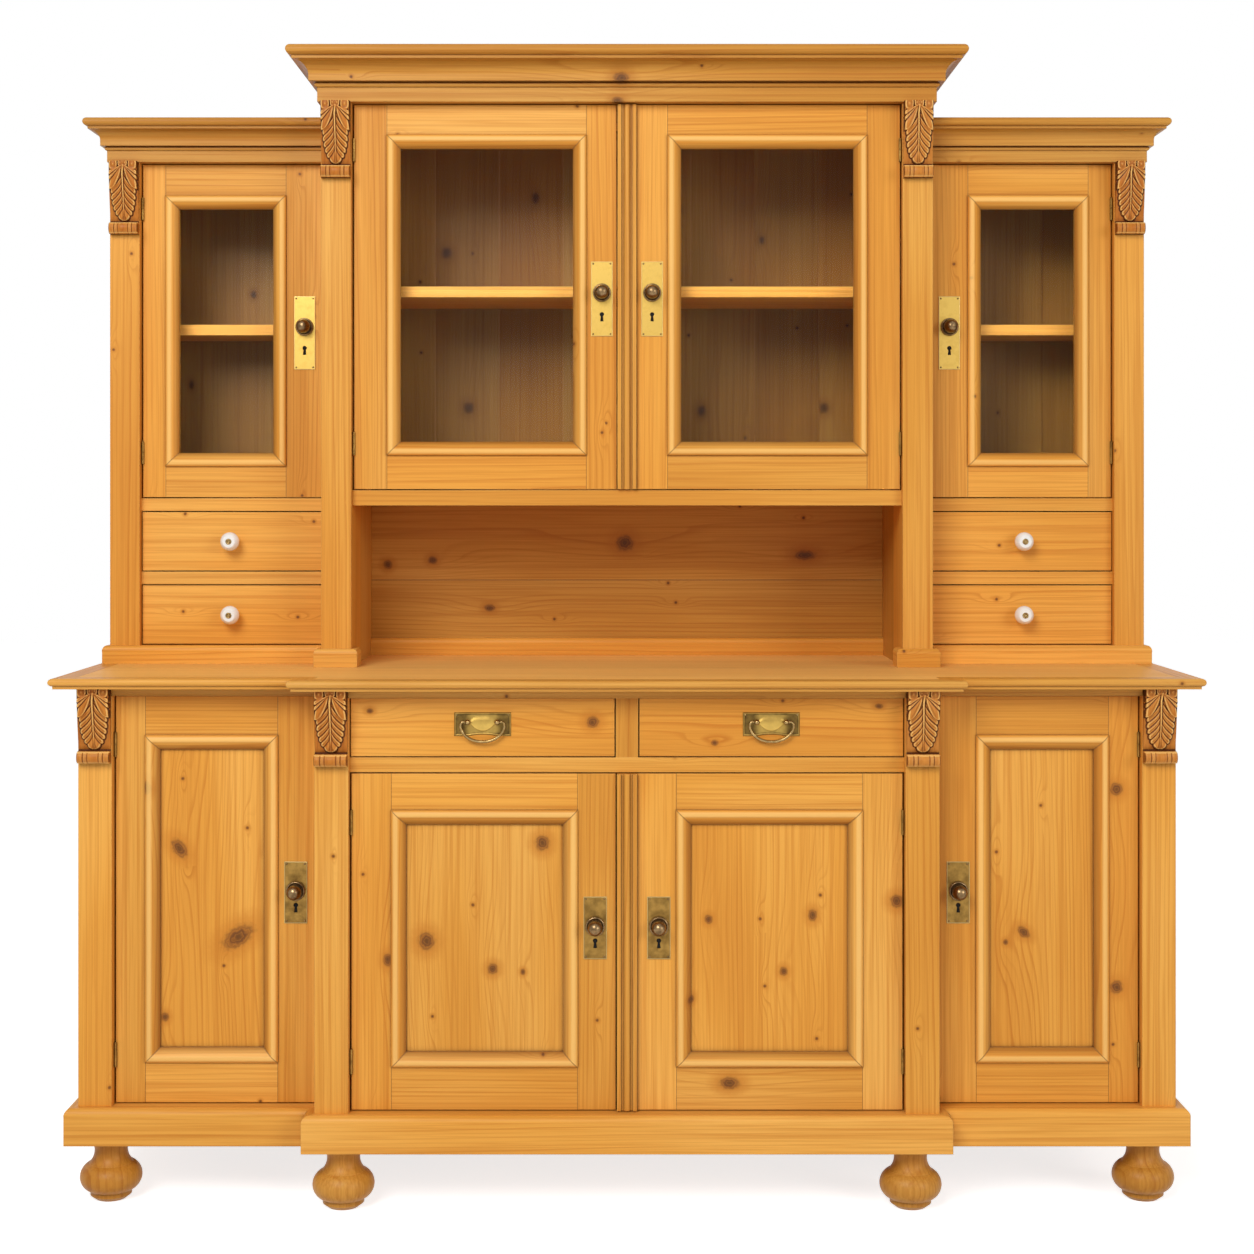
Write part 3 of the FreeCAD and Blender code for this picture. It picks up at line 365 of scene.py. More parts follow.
def pine(name, grain, variant, knots=(), shade=1.0, joint=None, hollows=False, sheen=WAX_SHEEN, painted_sheen=0.0):
    """Waxed pine: growth lines that flow round knots, fibres, dark joints, a tone of each board's own,
    painted highlights on edges and moulding crests, and painted shade in crevices and along moulding lips.
    """
    s = Shader(name)
    place = s.vector("ADD", s.where, SHIFTS[variant])

    def grained(waves, detail=2.0, roughness=0.5):
        return s.noise(s.vector("MULTIPLY", place, along_grain(grain, *waves)),
                       detail=detail, roughness=roughness)

    level = s.vector("DOT_PRODUCT", place, LINES_ACROSS[grain])
    rings = s.math("ADD", level, s.math("MULTIPLY", grained(BEND_WAVES, *BEND_NOISE), BEND_LINES))
    rings = s.math("ADD", rings, s.math("MULTIPLY", grained(WOBBLE_WAVES), WOBBLE_LINES))
    distances = [pin_knots(s, place, grain)]
    distances += [knot_distances(s, grain, knot) for knot in knots]
    nearest = None
    for distance, flow in distances:
        pull = s.math("POWER", s.math("DIVIDE", flow, KNOT_FLOW), 2.0)
        bulge = s.math("EXPONENT", s.math("MULTIPLY", pull, -1.0))
        rings = s.math("ADD", rings, s.math("MULTIPLY", bulge, KNOT_RINGS))
        nearest = distance if nearest is None else s.math("MINIMUM", nearest, distance)
    ragged = s.math("SUBTRACT", s.noise(s.where, RAGGED_WAVES), NOISE_MIDDLE_SHARE)
    nearest = s.math("ADD", nearest, s.math("MULTIPLY", ragged, KNOT_RAGGED))

    line = s.math("FRACT", rings)
    late = s.math("MULTIPLY", s.spread(line, *LATE_RISE, smooth=True),
                  s.spread(line, *LATE_FALL, smooth=True))
    number = s.math("FLOOR", rings)
    own = s.add("ShaderNodeTexWhiteNoise", {"W": number}, noise_dimensions="1D").outputs["Value"]
    late = s.math("MULTIPLY", late, s.spread(own, *LINE_STRENGTH))
    fibres = grained(FIBRE_WAVES)
    streaks = grained(STREAK_WAVES, STREAK_DETAIL)
    clouds = grained(CLOUD_WAVES)

    wood = s.mix(s.spread(clouds, *CLOUD_AMBER), HONEY, AMBER)
    wood = s.mix(s.spread(clouds, *CLOUD_PALE), wood, PALE_HONEY)
    wood = s.mix(s.math("MULTIPLY", late, s.spread(clouds, *CLOUD_LINES)), wood, GRAIN_BROWN)
    wood = s.mix(s.spread(fibres, *FIBRE_AMBER), wood, AMBER)
    wood = s.mix(s.spread(streaks, *STREAK_AMBER), wood, AMBER)
    wood = s.mix(s.spread(nearest, *KNOT_HALO, smooth=True), wood, AMBER)
    core = s.spread(nearest, *KNOT_CORE, smooth=True)
    turns = s.math("FRACT", s.math("MULTIPLY", nearest, KNOT_TURNS))
    heart = s.mix(s.spread(turns, *KNOT_TURN_AMBER), KNOT_BROWN, AMBER)
    heart = s.mix(s.spread(nearest, *KNOT_HEART), heart, KNOT_EDGE)
    wood = s.mix(s.math("MULTIPLY", core, KNOT_COVER_SHARE), wood, heart)
    # Painted sheen: the worktop's top is mixed toward a pale colour
    wood = s.mix(painted_sheen, wood, PAINTED_SHEEN_PALE)
    # A board's own tone, times its shade: painted shade inside the cupboard, in the alcove, on the cornice,
    # feet, bed moulding and partitions, and painted light on the worktop's top
    tone = TONES[variant] * shade
    wood = s.mix(1.0, wood, (tone, tone, tone, 1.0), "MULTIPLY")

    # Carving: painted highlights on crests, dirt and painted shade in hollows
    if hollows:
        wood = carved_tones(s, wood)
    # Mouldings: painted highlight on the crest, painted shadow along the lip
    if joint and joint[0] == "mitre":
        wood = moulding_tones(s, wood, grain, joint)
    if joint:
        gap = joint_gap(s, grain, joint)
        wood = s.mix(s.spread(gap, *JOINT_DIRT), wood, JOINT_DIRT_AND_SHADE_BROWN)
    rounded = s.add("ShaderNodeBevel", {"Radius": EDGE_ROUNDING}, samples=EDGE_SAMPLES).outputs["Normal"]
    # Painted highlight along every edge, where the rounded normal turns away from the flat one
    if not hollows:
        flat = s.add("ShaderNodeNewGeometry").outputs["True Normal"]
        edge = s.vector("LENGTH", s.vector("SUBTRACT", rounded, flat))
        wood = s.mix(s.spread(edge, *EDGE_PAINTED_HIGHLIGHT), wood, HIGHLIGHT_HONEY)
    # Painted shade where other surfaces of the same piece close in
    crevice = s.add("ShaderNodeAmbientOcclusion", {"Distance": CREVICE_DEPTH}, samples=CREVICE_SAMPLES,
                    only_local=True).outputs["AO"]
    wood = s.mix(s.spread(crevice, *CREVICE_PAINTED_SHADE), wood, JOINT_DIRT_AND_SHADE_BROWN)

    height = s.math("ADD", s.math("MULTIPLY", fibres, FIBRE_RELIEF_SHARE),
                    s.math("MULTIPLY", late, LINE_RELIEF_SHARE))
    return s.finish(Base_Color=wood, Roughness=s.spread(fibres, *PINE_ROUGHNESS), Specular_IOR_Level=sheen,
                    Normal=s.bump(height, GRAIN_STRENGTH, GRAIN_DEPTH, rounded))


def solids_of(mesh):
    """Polygons of each closed solid of a node: a solid is complete when all its edges are paired."""
    corner = [tuple(round(c, CORNER_DIGITS) for c in vertex.co) for vertex in mesh.vertices]
    solids = []
    current = []
    unpaired = set()
    for polygon in mesh.polygons:
        current.append(polygon.index)
        places = [corner[v] for v in polygon.vertices]
        for i, place in enumerate(places):
            unpaired ^= {frozenset((place, places[i - 1]))}
        if not unpaired:
            solids.append(current)
            current = []
    return solids + [current] if current else solids


def span(mesh, polygons):
    """Lowest and highest corner of some polygons."""
    points = [mesh.vertices[v].co for index in polygons for v in mesh.polygons[index].vertices]
    return [[pick(p[axis] for p in points) for axis in range(3)] for pick in (min, max)]


# Nodes with one way of the grain, the order of a door's solids, and how pale the boards are, which on some
# boards is painted shade and on the worktop's top painted light
LEVEL_NODES = ("base_shelf_boards", "upper_shelf_boards")
UPRIGHT_NODES = ("feet", "base_side_panels", "upper_side_panels")
DOOR_RAILS = (2, 3)
DOOR_MOULDINGS = (4, 5, 6, 7)
# Painted shade on the boards inside the cupboard, in the alcove and on the cornice
INSIDE_PAINTED_SHADE = 0.34
ALCOVE_PAINTED_SHADE = 0.7
CORNICE_PAINTED_SHADE = 0.77
# The carving's own tone
CARVED_SHADE = 0.9
# Painted shade on the feet, the bed moulding and the partitions by the alcove
FOOT_PAINTED_SHADE = 0.78
BED_PAINTED_SHADE = 0.82
PARTITION_PAINTED_SHADE = 0.74
RAIL_SHADE = 0.92
# Painted light and painted sheen on the worktop's top, which has little wax shine of its own
TOP_PAINTED_LIGHT = 1.14
TOP_SHEEN = 0.03
TOP_PAINTED_SHEEN = 0.45
NOSING_SHADE = 0.92
FIRST_NOSING = 6
SHADES = {"upper_back_boards": ALCOVE_PAINTED_SHADE, "cornice": CORNICE_PAINTED_SHADE, "feet": FOOT_PAINTED_SHADE,
          "bed_moulding": BED_PAINTED_SHADE, "upper_side_panels": PARTITION_PAINTED_SHADE, "base_rails": RAIL_SHADE}
board_count = 0
shared_pine = {}


def shade_of(name, number, grain):
    """How pale a board is beside the others, as painted shade on some boards and painted light on the
    worktop's top.
    """
    if name == "upper_back_boards" and grain == "z":
        return INSIDE_PAINTED_SHADE
    if name == "worktop":
        return TOP_PAINTED_LIGHT if number < FIRST_NOSING else NOSING_SHADE
    return SHADES.get(name, 1.0)


def joint_of(name, number, grain, low, high):
    """Which joints of a board show as a thin dark line, if any do."""
    low, high = [tuple(round(v, JOINT_DIGITS) for v in corner) for corner in (low, high)]
    if name.endswith("back_boards"):
        return "edges", low, high, 0.0
    if name.endswith("_door") and number in DOOR_RAILS:
        return "ends", low, high, 0.0
    if name.endswith("_door") and number in DOOR_MOULDINGS:
        across = axis_across(grain)
        door_low, door_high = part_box(name)
        beyond = low[across] + high[across] > door_low[across] + door_high[across]
        return "mitre", low, high, high[across] if beyond else low[across]
    return None


def pine_for(name, number, low, high):
    """Pine for one board: grain along its length, its joints, and the knots that the photo shows on it."""
    global board_count
    board_count += 1
    sizes = [b - a for a, b in zip(low, high)]
    grain = "xyz"[sizes.index(max(sizes))]
    if name in LEVEL_NODES:
        grain = "x"
    if name in UPRIGHT_NODES:
        grain = "z"
    shade = shade_of(name, number, grain)
    knots = tuple(k for k in KNOTS.get(name, ()) if low[0] < k[0] < high[0] and low[2] < k[1] < high[2])
    variant = board_count % len(SHIFTS)
    joint = joint_of(name, number, grain, low, high)
    key = (grain, variant, knots, shade, joint)
    if key not in shared_pine:
        sheen, painted_sheen = (TOP_SHEEN, TOP_PAINTED_SHEEN) if shade == TOP_PAINTED_LIGHT else (WAX_SHEEN, 0.0)
        shared_pine[key] = pine(f"pine_{len(shared_pine)}", grain, variant, knots, shade, joint,
                                sheen=sheen, painted_sheen=painted_sheen)
    return shared_pine[key]


def paint_solids(name, paint_for):
    """Gives each closed solid of a node a paint of its own."""
    mesh = nodes[name].data
    mesh.materials.clear()
    for number, polygons in enumerate(solids_of(mesh)):
        material = paint_for(number, mesh, polygons)
        if material.name not in mesh.materials:
            mesh.materials.append(material)
        slot = mesh.materials.find(material.name)
        for index in polygons:
            mesh.polygons[index].material_index = slot


def paint_pine(name):
    """Gives each board of a node its own pine."""
    paint_solids(name, lambda number, mesh, polygons: pine_for(name, number, *span(mesh, polygons)))


RIM_LINE = 0.0011
RIM_GROOVE = 0.0019
RIM_DULL = (RIM_LINE, RIM_GROOVE, 0.75, 0.0)
# The plate's very edge gets a painted highlight
RIM_PAINTED_HIGHLIGHT = (RIM_LINE / 2, RIM_LINE, 0.5, 0.0)
PATINA_NOISE = (4.0, 0.6)
# In a stamped relief the patina is partly cloudy and mostly follows the depth
CLOUDY_SHARE = 0.15
DEPTH_SHARE = 0.85
SCRATCH_WAVES = (900.0, 900.0, 140.0)
SCRATCH_STRENGTH = 0.12
SCRATCH_DEPTH = 0.0002
METAL_ROUNDING = 0.0014
METAL_CREVICE = 0.004
METAL_SAMPLES = 4
METAL_DIRT = (0.25, 0.75, 0.85, 0.0)


def metal(name, bright, dull, patina_scale=90.0, roughness=(0.28, 0.5), cover=(0.35, 0.65),
          hollows=False, rim=None):
    """Brass or bronze: polish under a cloudy patina, fine scratches and, on a plate, a painted highlight
    along its edge with a duller band just inside it.
    """
    s = Shader(name)
    patina = s.spread(s.noise(s.where, patina_scale, *PATINA_NOISE), *cover, 0.0, 1.0)
    if hollows:
        depth = s.add("ShaderNodeAttribute", attribute_name="hollow").outputs["Fac"]
        patina = s.math("ADD", s.math("MULTIPLY", patina, CLOUDY_SHARE),
                        s.math("MULTIPLY", depth, DEPTH_SHARE))
    scratches = s.noise(s.vector("MULTIPLY", s.where, SCRATCH_WAVES), detail=2.0)
    rounded = s.add("ShaderNodeBevel", {"Radius": METAL_ROUNDING}, samples=METAL_SAMPLES).outputs["Normal"]
    crevice = s.add("ShaderNodeAmbientOcclusion", {"Distance": METAL_CREVICE}, samples=METAL_SAMPLES,
                    only_local=True).outputs["AO"]
    colour = s.mix(patina, bright, dull)
    if rim:
        places = s.add("ShaderNodeSeparateXYZ", {0: s.where}).outputs
        edge = s.math("MINIMUM", inside(s, places, 0, *rim), inside(s, places, 2, *rim))
        colour = s.mix(s.spread(edge, *RIM_DULL), colour, dull)
        # Painted highlight along the very edge of the plate
        colour = s.mix(s.spread(edge, *RIM_PAINTED_HIGHLIGHT), colour, BRASS_RIM_HIGHLIGHT)
    colour = s.mix(s.spread(crevice, *METAL_DIRT), colour, BLACKENED)
    return s.finish(Base_Color=colour, Metallic=1.0, Roughness=s.spread(patina, 0.0, 1.0, *roughness),
                    Normal=s.bump(scratches, SCRATCH_STRENGTH, SCRATCH_DEPTH, rounded))


# Waves in a metre on the glaze, in the painted shadow of the keyholes and in the panes
GLAZE_CLOUD_WAVES = 60.0
GLAZE_CLOUDS = (0.3, 0.7, 0.0, 1.0)
GLAZE_WAVES = 120.0
KEYHOLE_SHADOW_WAVES = 700.0
PANE_WAVES = (6.0, 6.0, 2.5)


def porcelain():
    """White glaze, a little cloudy and uneven."""
    s = Shader("porcelain_glaze")
    clouds = s.spread(s.noise(s.where, GLAZE_CLOUD_WAVES), *GLAZE_CLOUDS)
    uneven = s.bump(s.noise(s.where, GLAZE_WAVES), strength=0.04, distance=0.0005)
    return s.finish(Base_Color=s.mix(clouds, PORCELAIN, PORCELAIN_PALE), Roughness=0.12,
                    Coat_Weight=0.5, Coat_Roughness=0.05, Normal=uneven)


def keyhole_painted_shadow():
    """Painted shadow for the inside of a keyhole: near black, a little uneven."""
    s = Shader("keyhole_painted_shadow")
    keyhole_dark = s.mix(s.noise(s.where, KEYHOLE_SHADOW_WAVES), KEYHOLE_SHADOW, KEYHOLE_SHADOW_PALE)
    return s.finish(Base_Color=keyhole_dark, Roughness=0.95)


def glass():
    """Clear pane that lets light through to the cupboard, with the slight waves of drawn glass."""
    s = Shader("pane_glass")
    waves = s.noise(s.vector("MULTIPLY", s.where, PANE_WAVES), detail=1.0)
    s.finish(Base_Color=PANE, Roughness=0.0, Transmission_Weight=1.0, IOR=1.12,
             Normal=s.bump(waves, strength=0.03, distance=0.002))
    shadow = s.add("ShaderNodeLightPath").outputs["Is Shadow Ray"]
    clear = s.add("ShaderNodeBsdfTransparent", {"Color": PANE_SHADOW}).outputs[0]
    both = s.add("ShaderNodeMixShader", {0: shadow, 1: s.surface.outputs[0], 2: clear})
    s.put(s.tree.nodes["Material Output"].inputs["Surface"], both.outputs[0])
    return s.material


PLATE_METALS = {"bright_brass": {"bright": NEW_BRASS, "dull": NEW_BRASS_DULL, "patina_scale": 70.0,
                                 "roughness": (0.3, 0.45), "cover": (0.45, 0.85)},
                "antique_brass": {"bright": OLD_BRASS, "dull": OLD_BRASS_DARK, "patina_scale": 60.0,
                                  "roughness": (0.32, 0.48)}}
paints = {"antique_brass": metal("antique_brass", **PLATE_METALS["antique_brass"]),
          "bronze": metal("bronze", BRONZE, BRONZE_DARK, patina_scale=110.0, roughness=(0.25, 0.42),
                          cover=(0.4, 0.75)),
          "stamped_brass": metal("stamped_brass", NEW_BRASS, STAMPED_DARK, hollows=True),
          "worn_brass": metal("worn_brass", WORN_BRASS, OLD_BRASS_DARK, patina_scale=160.0,
                              roughness=(0.2, 0.34), cover=(0.4, 0.8)),
          "porcelain": porcelain(), "glass": glass(), "keyhole": keyhole_painted_shadow()}
# The plate comes first among the solids of a door's fittings
PLATE = 0


def fittings_paint(name, slot, number, mesh, polygons):
    """Metal of one solid of a door's fittings: the plate has its own finish with a painted highlight along
    its edge.
    """
    if number != PLATE:
        return paints["antique_brass"]
    return metal(f"{name}_plate", **PLATE_METALS[slot], rim=span(mesh, polygons))


for part in frame["record"]["subparts"]:
    name, slot = part["node"], part["material_slot"]
    if slot == "pine":
        paint_pine(name)
    elif name.endswith("_fittings"):
        paint_solids(name, lambda *solid: fittings_paint(name, slot, *solid))
    elif name == "hinge_leaves":
        paint_solids(name, lambda number, mesh, polygons: paints["antique_brass"])
    else:
        paint_solids(name, lambda number, mesh, polygons: paints[slot])


FORWARD = (0, -1, 0)
# How hollow a relief counts where it is level and along its back edge: 0 on a crest, 1 in a hollow
LEVEL_SHARE = 0.5


def shown(name, data):
    """A new object in the scene."""
    item = bpy.data.objects.new(name, data)
    bpy.context.scene.collection.objects.link(item)
    return item


def add_piece(name, mesh, body, material):
    """A shown piece that rides on a body, with the finish it is given."""
    piece = shown(name, mesh)
    mesh.materials.append(material)
    for polygon in mesh.polygons:
        polygon.use_smooth = True
    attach(piece, body)
    return piece


def relief_mesh(name, columns, rows, place, hollow):
    """Closed relief over a flat back: place gives a point in front and behind for each column and row."""

    def at(i, j):
        return j * columns + i

    cells = [(i, j) for j in range(rows) for i in range(columns)]
    points = [place(i, j, True) for i, j in cells]
    shades = [hollow(i, j) for i, j in cells]
    faces = [(at(i, j), at(i + 1, j), at(i + 1, j + 1), at(i, j + 1))
             for j in range(rows - 1) for i in range(columns - 1)]
    rim = [(i, 0) for i in range(columns)] + [(columns - 1, j) for j in range(1, rows)]
    rim += [(i, rows - 1) for i in reversed(range(columns - 1))] + [(0, j) for j in range(rows - 2, 0, -1)]
    back = len(points)
    points += [place(i, j, False) for i, j in rim]
    shades += [LEVEL_SHARE] * len(rim)
    for k in range(len(rim)):
        faces.append((at(*rim[k]), at(*rim[k - 1]), back + (k - 1) % len(rim), back + k))
    faces.append(tuple(back + k for k in range(len(rim))))
    mesh = bpy.data.meshes.new(name)
    mesh.from_pydata(points, [], faces)
    mesh.attributes.new("hollow", "FLOAT", "POINT").data.foreach_set("value", shades)
    shape = bmesh.new()
    shape.from_mesh(mesh)
    bmesh.ops.recalc_face_normals(shape, faces=shape.faces)
    shape.to_mesh(mesh)
    shape.free()
    return mesh


def lathe(shape, profile, centre, axis, turns=24):
    """Adds a turned form to a bmesh: (radius, height) pairs in millimetres, round an axis at a centre."""
    turn = Vector((0, 0, 1)).rotation_difference(Vector(axis)).to_matrix().to_4x4()
    to_place = Matrix.Translation(centre) @ turn @ Matrix.Scale(MM, 4)
    loops = []
    for radius, height in profile:
        loop = []
        for i in range(turns if radius else 1):
            angle = 2 * math.pi * i / turns
            loop.append(shape.verts.new(to_place @ Vector((radius * math.cos(angle),
                                                            radius * math.sin(angle), height))))
        loops.append(loop)
    for low, high in zip(loops, loops[1:]):
        for i in range(turns):
            corners = [low[i % len(low)], low[(i + 1) % len(low)],
                       high[(i + 1) % len(high)], high[i % len(high)]]
            shape.faces.new(list(dict.fromkeys(corners)))


def dome(radius, height, steps=4):
    """Profile of a low dome, from its rim to its crown."""
    quarter = math.pi / 2
    return [(radius * math.cos(quarter * i / steps) if i < steps else 0.0,
             height * math.sin(quarter * i / steps)) for i in range(steps + 1)]


def add_form(name, shape, body, paint):
    """A shown piece from a finished bmesh, with its faces turned outward."""
    bmesh.ops.recalc_face_normals(shape, faces=shape.faces)
    mesh = bpy.data.meshes.new(name)
    shape.to_mesh(mesh)
    shape.free()
    return add_piece(name, mesh, body, paints[paint])


def middle_at(low, high, y, drop=0.0):
    """Middle of a box from the front, or a drop below it, at a place in depth."""
    return Vector(((low[0] + high[0]) / 2, y, (low[2] + high[2]) / 2 - drop))


def bell(distance, width):
    """1 at no distance, and falling smoothly toward 0 beyond a width."""
    return math.exp(-(distance / width) ** 2)


# Carved corbels, in millimetres on a corbel 125 mm tall: across from the middle, down from the top
CARVED_HEIGHT = 125.0
CARVED_HALF = 27.6
CARVED_GRID = (85, 193)
CARVED_VARIANT = 1
# The bowed front: how far it stands out at the top, and how it falls back further down
FRONT_OUT = 24.0
FRONT_SLOPE = 0.048
FRONT_BOW = 0.0009
GROUND_DROP = 8.5
# The hanging leaf: its veins leave the midrib steeply at these heights and bend outward
LEAF_BEND = 6.4
LEAF_EDGES = (-9.0, 3.0, 15.0, 27.0, 38.0, 49.0, 60.0, 71.0, 104.0)
LEAF_START = 22.0
LEAF_MIDDLE = 54.0
LEAF_LENGTH = 48.5
LEAF_HALF = 24.0
LEAF_LIFT = 2.6
LEAF_EDGE = 2.0
MIDRIB_HALF = 0.5
MIDRIB_SLOPE = 6.0
# The side leaves over it, in lobes that end at these angles below the level
SIDE_FAN = (1.5, 7.0)
SIDE_EDGES = (20.0, 36.0, 47.0, 80.0)
SIDE_LIFT = 4.6
SIDE_SLOPE = 8.0
UNDERCUT_SHARE = 0.25
UNDERCUT_EDGE = 1.6
# Their lower edge: where it starts across and down, its slope and its bend
SIDE_FOOT = (4.5, 21.9, 2.6, 0.064)
# Each lobe: the notch at its tip, its height and how that falls across it, and the flute along it
LOBE_NOTCH = 4.2
NOTCH_GROWTH = 2
LOBE_RAISE = 3.6
LOBE_HIGH_SHARE = 1.1
LOBE_FALL_SHARE = 0.5
FLUTE_PLACE_SHARE = 0.5
FLUTE_DEPTH = 0.9
FLUTE_SHARE = 0.13
FILL_LIFT = 3.2
# The rounded corner leaves, the bud at the top and the stem
CORNER = (18.4, 5.6)
CORNER_HALF = (8.6, 10.6)
CORNER_LIFT = 6.4
BUD = (4.4, 3.4)
BUD_HALF = (4.8, 7.6)
BUD_LIFT = 6.8
KNOP_POWER = 2.5
KNOP_EDGE_SHARE = 0.3
KNOP_DISH = 0.7
KNOP_WAVES = 1.8
STEM = ((0.8, 8.0), (-0.8, 20.0), (0.0, 60.0), (0.0, 101.0))
STEM_HALF = 2.9
STEM_LIFT = 7.8
STEM_FALL = 0.035
STEM_TAPER_SHARE = 0.65
STEM_EDGE_SHARE = 0.6
# The scroll: beads along it are given by their middle and half length
SCROLL_MIDDLE = 114.6
SCROLL_RADIUS = 10.2
SCROLL_AXIS = 9.5
SCROLL_FLAT = 0.6
SCROLL_SINK = 1.2
FOOT_SHARE = 0.2
BEADS = ((0.0, 9.6), (13.4, 3.4), (22.4, 5.0))
BEAD_SWELL = 1.8
# Heights are the mean of places this many columns and rows away; hollows are found over a wider reach
SOFT_STEPS = (-0.66, 0.0, 0.66)
CAVITY_REACH = 3
CAVITY_DEPTH = 1.25


def leaf_front(d):
    """How far the carving stands out at a distance down from the top."""
    return FRONT_OUT - FRONT_SLOPE * d - FRONT_BOW * d * d


def rounded(distance, width):
    """Rises from 0 at an edge to 1 a width away, as a rounded edge does."""
    share = min(1.0, max(0.0, distance / width))
    return math.sqrt(share * (2 - share))


def lobe(turn, edges, raised_low):
    """Height across the lobe at a turn, rounded and highest along one edge, and its crown from 0 to 1."""
    for low, high in zip(edges, edges[1:]):
        if low <= turn < high:
            share = (turn - low) / (high - low)
            fall = share if raised_low else 1 - share
            crown = math.sqrt(math.sin(math.pi * share))
            flute = FLUTE_DEPTH * bell(share - FLUTE_PLACE_SHARE, FLUTE_SHARE)
            return LOBE_RAISE * crown * (LOBE_HIGH_SHARE - LOBE_FALL_SHARE * fall) - flute, crown
    return None


def hanging_leaf(x, d):
    """Lobed leaf under the side leaves, each of its lobes over the one below."""
    if d < LEAF_START:
        return FILL_LIFT * rounded(CARVED_HALF - x, LEAF_EDGE)
    across = lobe(d - LEAF_BEND * math.sqrt(x), LEAF_EDGES, True)
    if across is None:
        return LEAF_LIFT if d < LEAF_MIDDLE else 0.0
    height, crown = across
    bow = 1 - ((d - LEAF_MIDDLE) / LEAF_LENGTH) ** 2 if d > LEAF_MIDDLE else 1.0
    notch = LOBE_NOTCH * (1 - crown) * min(1.0, x / LEAF_HALF * NOTCH_GROWTH)
    half = LEAF_HALF * math.sqrt(max(0.0, bow)) - notch
    if x >= half:
        return 0.0
    return LEAF_LIFT * rounded(half - x, LEAF_EDGE) + rounded(x - MIDRIB_HALF, MIDRIB_SLOPE) * height


def side_leaf(x, d):
    """Lobed leaf that sweeps out and down from the stem, undercut along its lower edge."""
    start, foot, slope, bend = SIDE_FOOT
    foot += slope * (x - start) - bend * (x - start) ** 2
    across = lobe(math.degrees(math.atan2(d - SIDE_FAN[1], x - SIDE_FAN[0])), SIDE_EDGES, False)
    if x < SIDE_FAN[0] or d >= foot or across is None:
        return 0.0
    height, crown = across
    reach = CARVED_HALF - LOBE_NOTCH * (1 - crown) - x
    if reach <= 0:
        return 0.0
    lift = SIDE_LIFT + rounded(x - SIDE_FAN[0], SIDE_SLOPE) * height
    undercut = UNDERCUT_SHARE + (1 - UNDERCUT_SHARE) * rounded(foot - d, UNDERCUT_EDGE)
    return lift * rounded(reach, LEAF_EDGE) * undercut


def knop(x, d, centre, half, lift):
    """Rounded leaf with a dished middle."""
    away = abs((x - centre[0]) / half[0]) ** KNOP_POWER + abs((d - centre[1]) / half[1]) ** KNOP_POWER
    away **= 1 / KNOP_POWER
    if away >= 1:
        return 0.0
    dish = KNOP_DISH * math.cos(KNOP_WAVES * math.pi * (1 - away))
    return lift * rounded(1 - away, KNOP_EDGE_SHARE) + dish


def ridge(x, d, path, half, taper):
    """How near a place is to the middle of a line of points: 1 on it, 0 at its half width."""
    best = 0.0
    for i in range(len(path) - 1):
        (x0, d0), (x1, d1) = path[i], path[i + 1]
        share = ((x - x0) * (x1 - x0) + (d - d0) * (d1 - d0)) / ((x1 - x0) ** 2 + (d1 - d0) ** 2)
        share = min(1.0, max(0.0, share))
        gap = math.hypot(x - x0 - share * (x1 - x0), d - d0 - share * (d1 - d0))
        width = half * (1 - taper * (i + share) / (len(path) - 1))
        best = max(best, 1 - gap / width)
    return best


def carved(x, d):
    """Height of the carving at a place."""
    roll = (d - SCROLL_MIDDLE) / SCROLL_RADIUS
    if abs(roll) < 1:
        swell = 0.0
        for middle, half in BEADS:
            if abs(abs(x) - middle) < half:
                swell = BEAD_SWELL * math.sqrt(1 - ((abs(x) - middle) / half) ** 2)
        return SCROLL_AXIS + (SCROLL_RADIUS - SCROLL_FLAT) * math.sqrt(1 - roll * roll) + swell - SCROLL_SINK
    ground = leaf_front(d) - GROUND_DROP
    if d > SCROLL_MIDDLE:
        return ground * FOOT_SHARE
    across = abs(x)
    raised = max(hanging_leaf(across, d), side_leaf(across, d),
                 knop(across, d, CORNER, CORNER_HALF, CORNER_LIFT), knop(across, d, BUD, BUD_HALF, BUD_LIFT))
    stem = ridge(x, d, STEM, STEM_HALF, STEM_TAPER_SHARE)
    if stem > 0:
        raised = max(raised, (STEM_LIFT - STEM_FALL * d) * rounded(stem, STEM_EDGE_SHARE))
    return ground + raised


def cavities(heights):
    """Share from 0 on a crest to 1 in a hollow, from each height and the mean of those round it."""
    rows, columns = len(heights), len(heights[0])
    shares = []
    for j in range(rows):
        near_rows = heights[max(0, j - CAVITY_REACH):j + CAVITY_REACH + 1]
        line = []
        for i in range(columns):
            near = [v for row in near_rows for v in row[max(0, i - CAVITY_REACH):i + CAVITY_REACH + 1]]
            drop = sum(near) / len(near) - heights[j][i]
            line.append(min(1.0, max(0.0, LEVEL_SHARE + drop / (2 * CAVITY_DEPTH))))
        shares.append(line)
    return shares


def softened(i, j, columns, rows):
    """Height at a column and row of the carving, as the mean of places round it."""
    total = 0.0
    for down in SOFT_STEPS:
        d = CARVED_HEIGHT * min(1.0, max(0.0, (j + down) / (rows - 1)))
        for across in SOFT_STEPS:
            total += carved(CARVED_HALF * (2 * (i + across) / (columns - 1) - 1), d)
    return total / len(SOFT_STEPS) ** 2


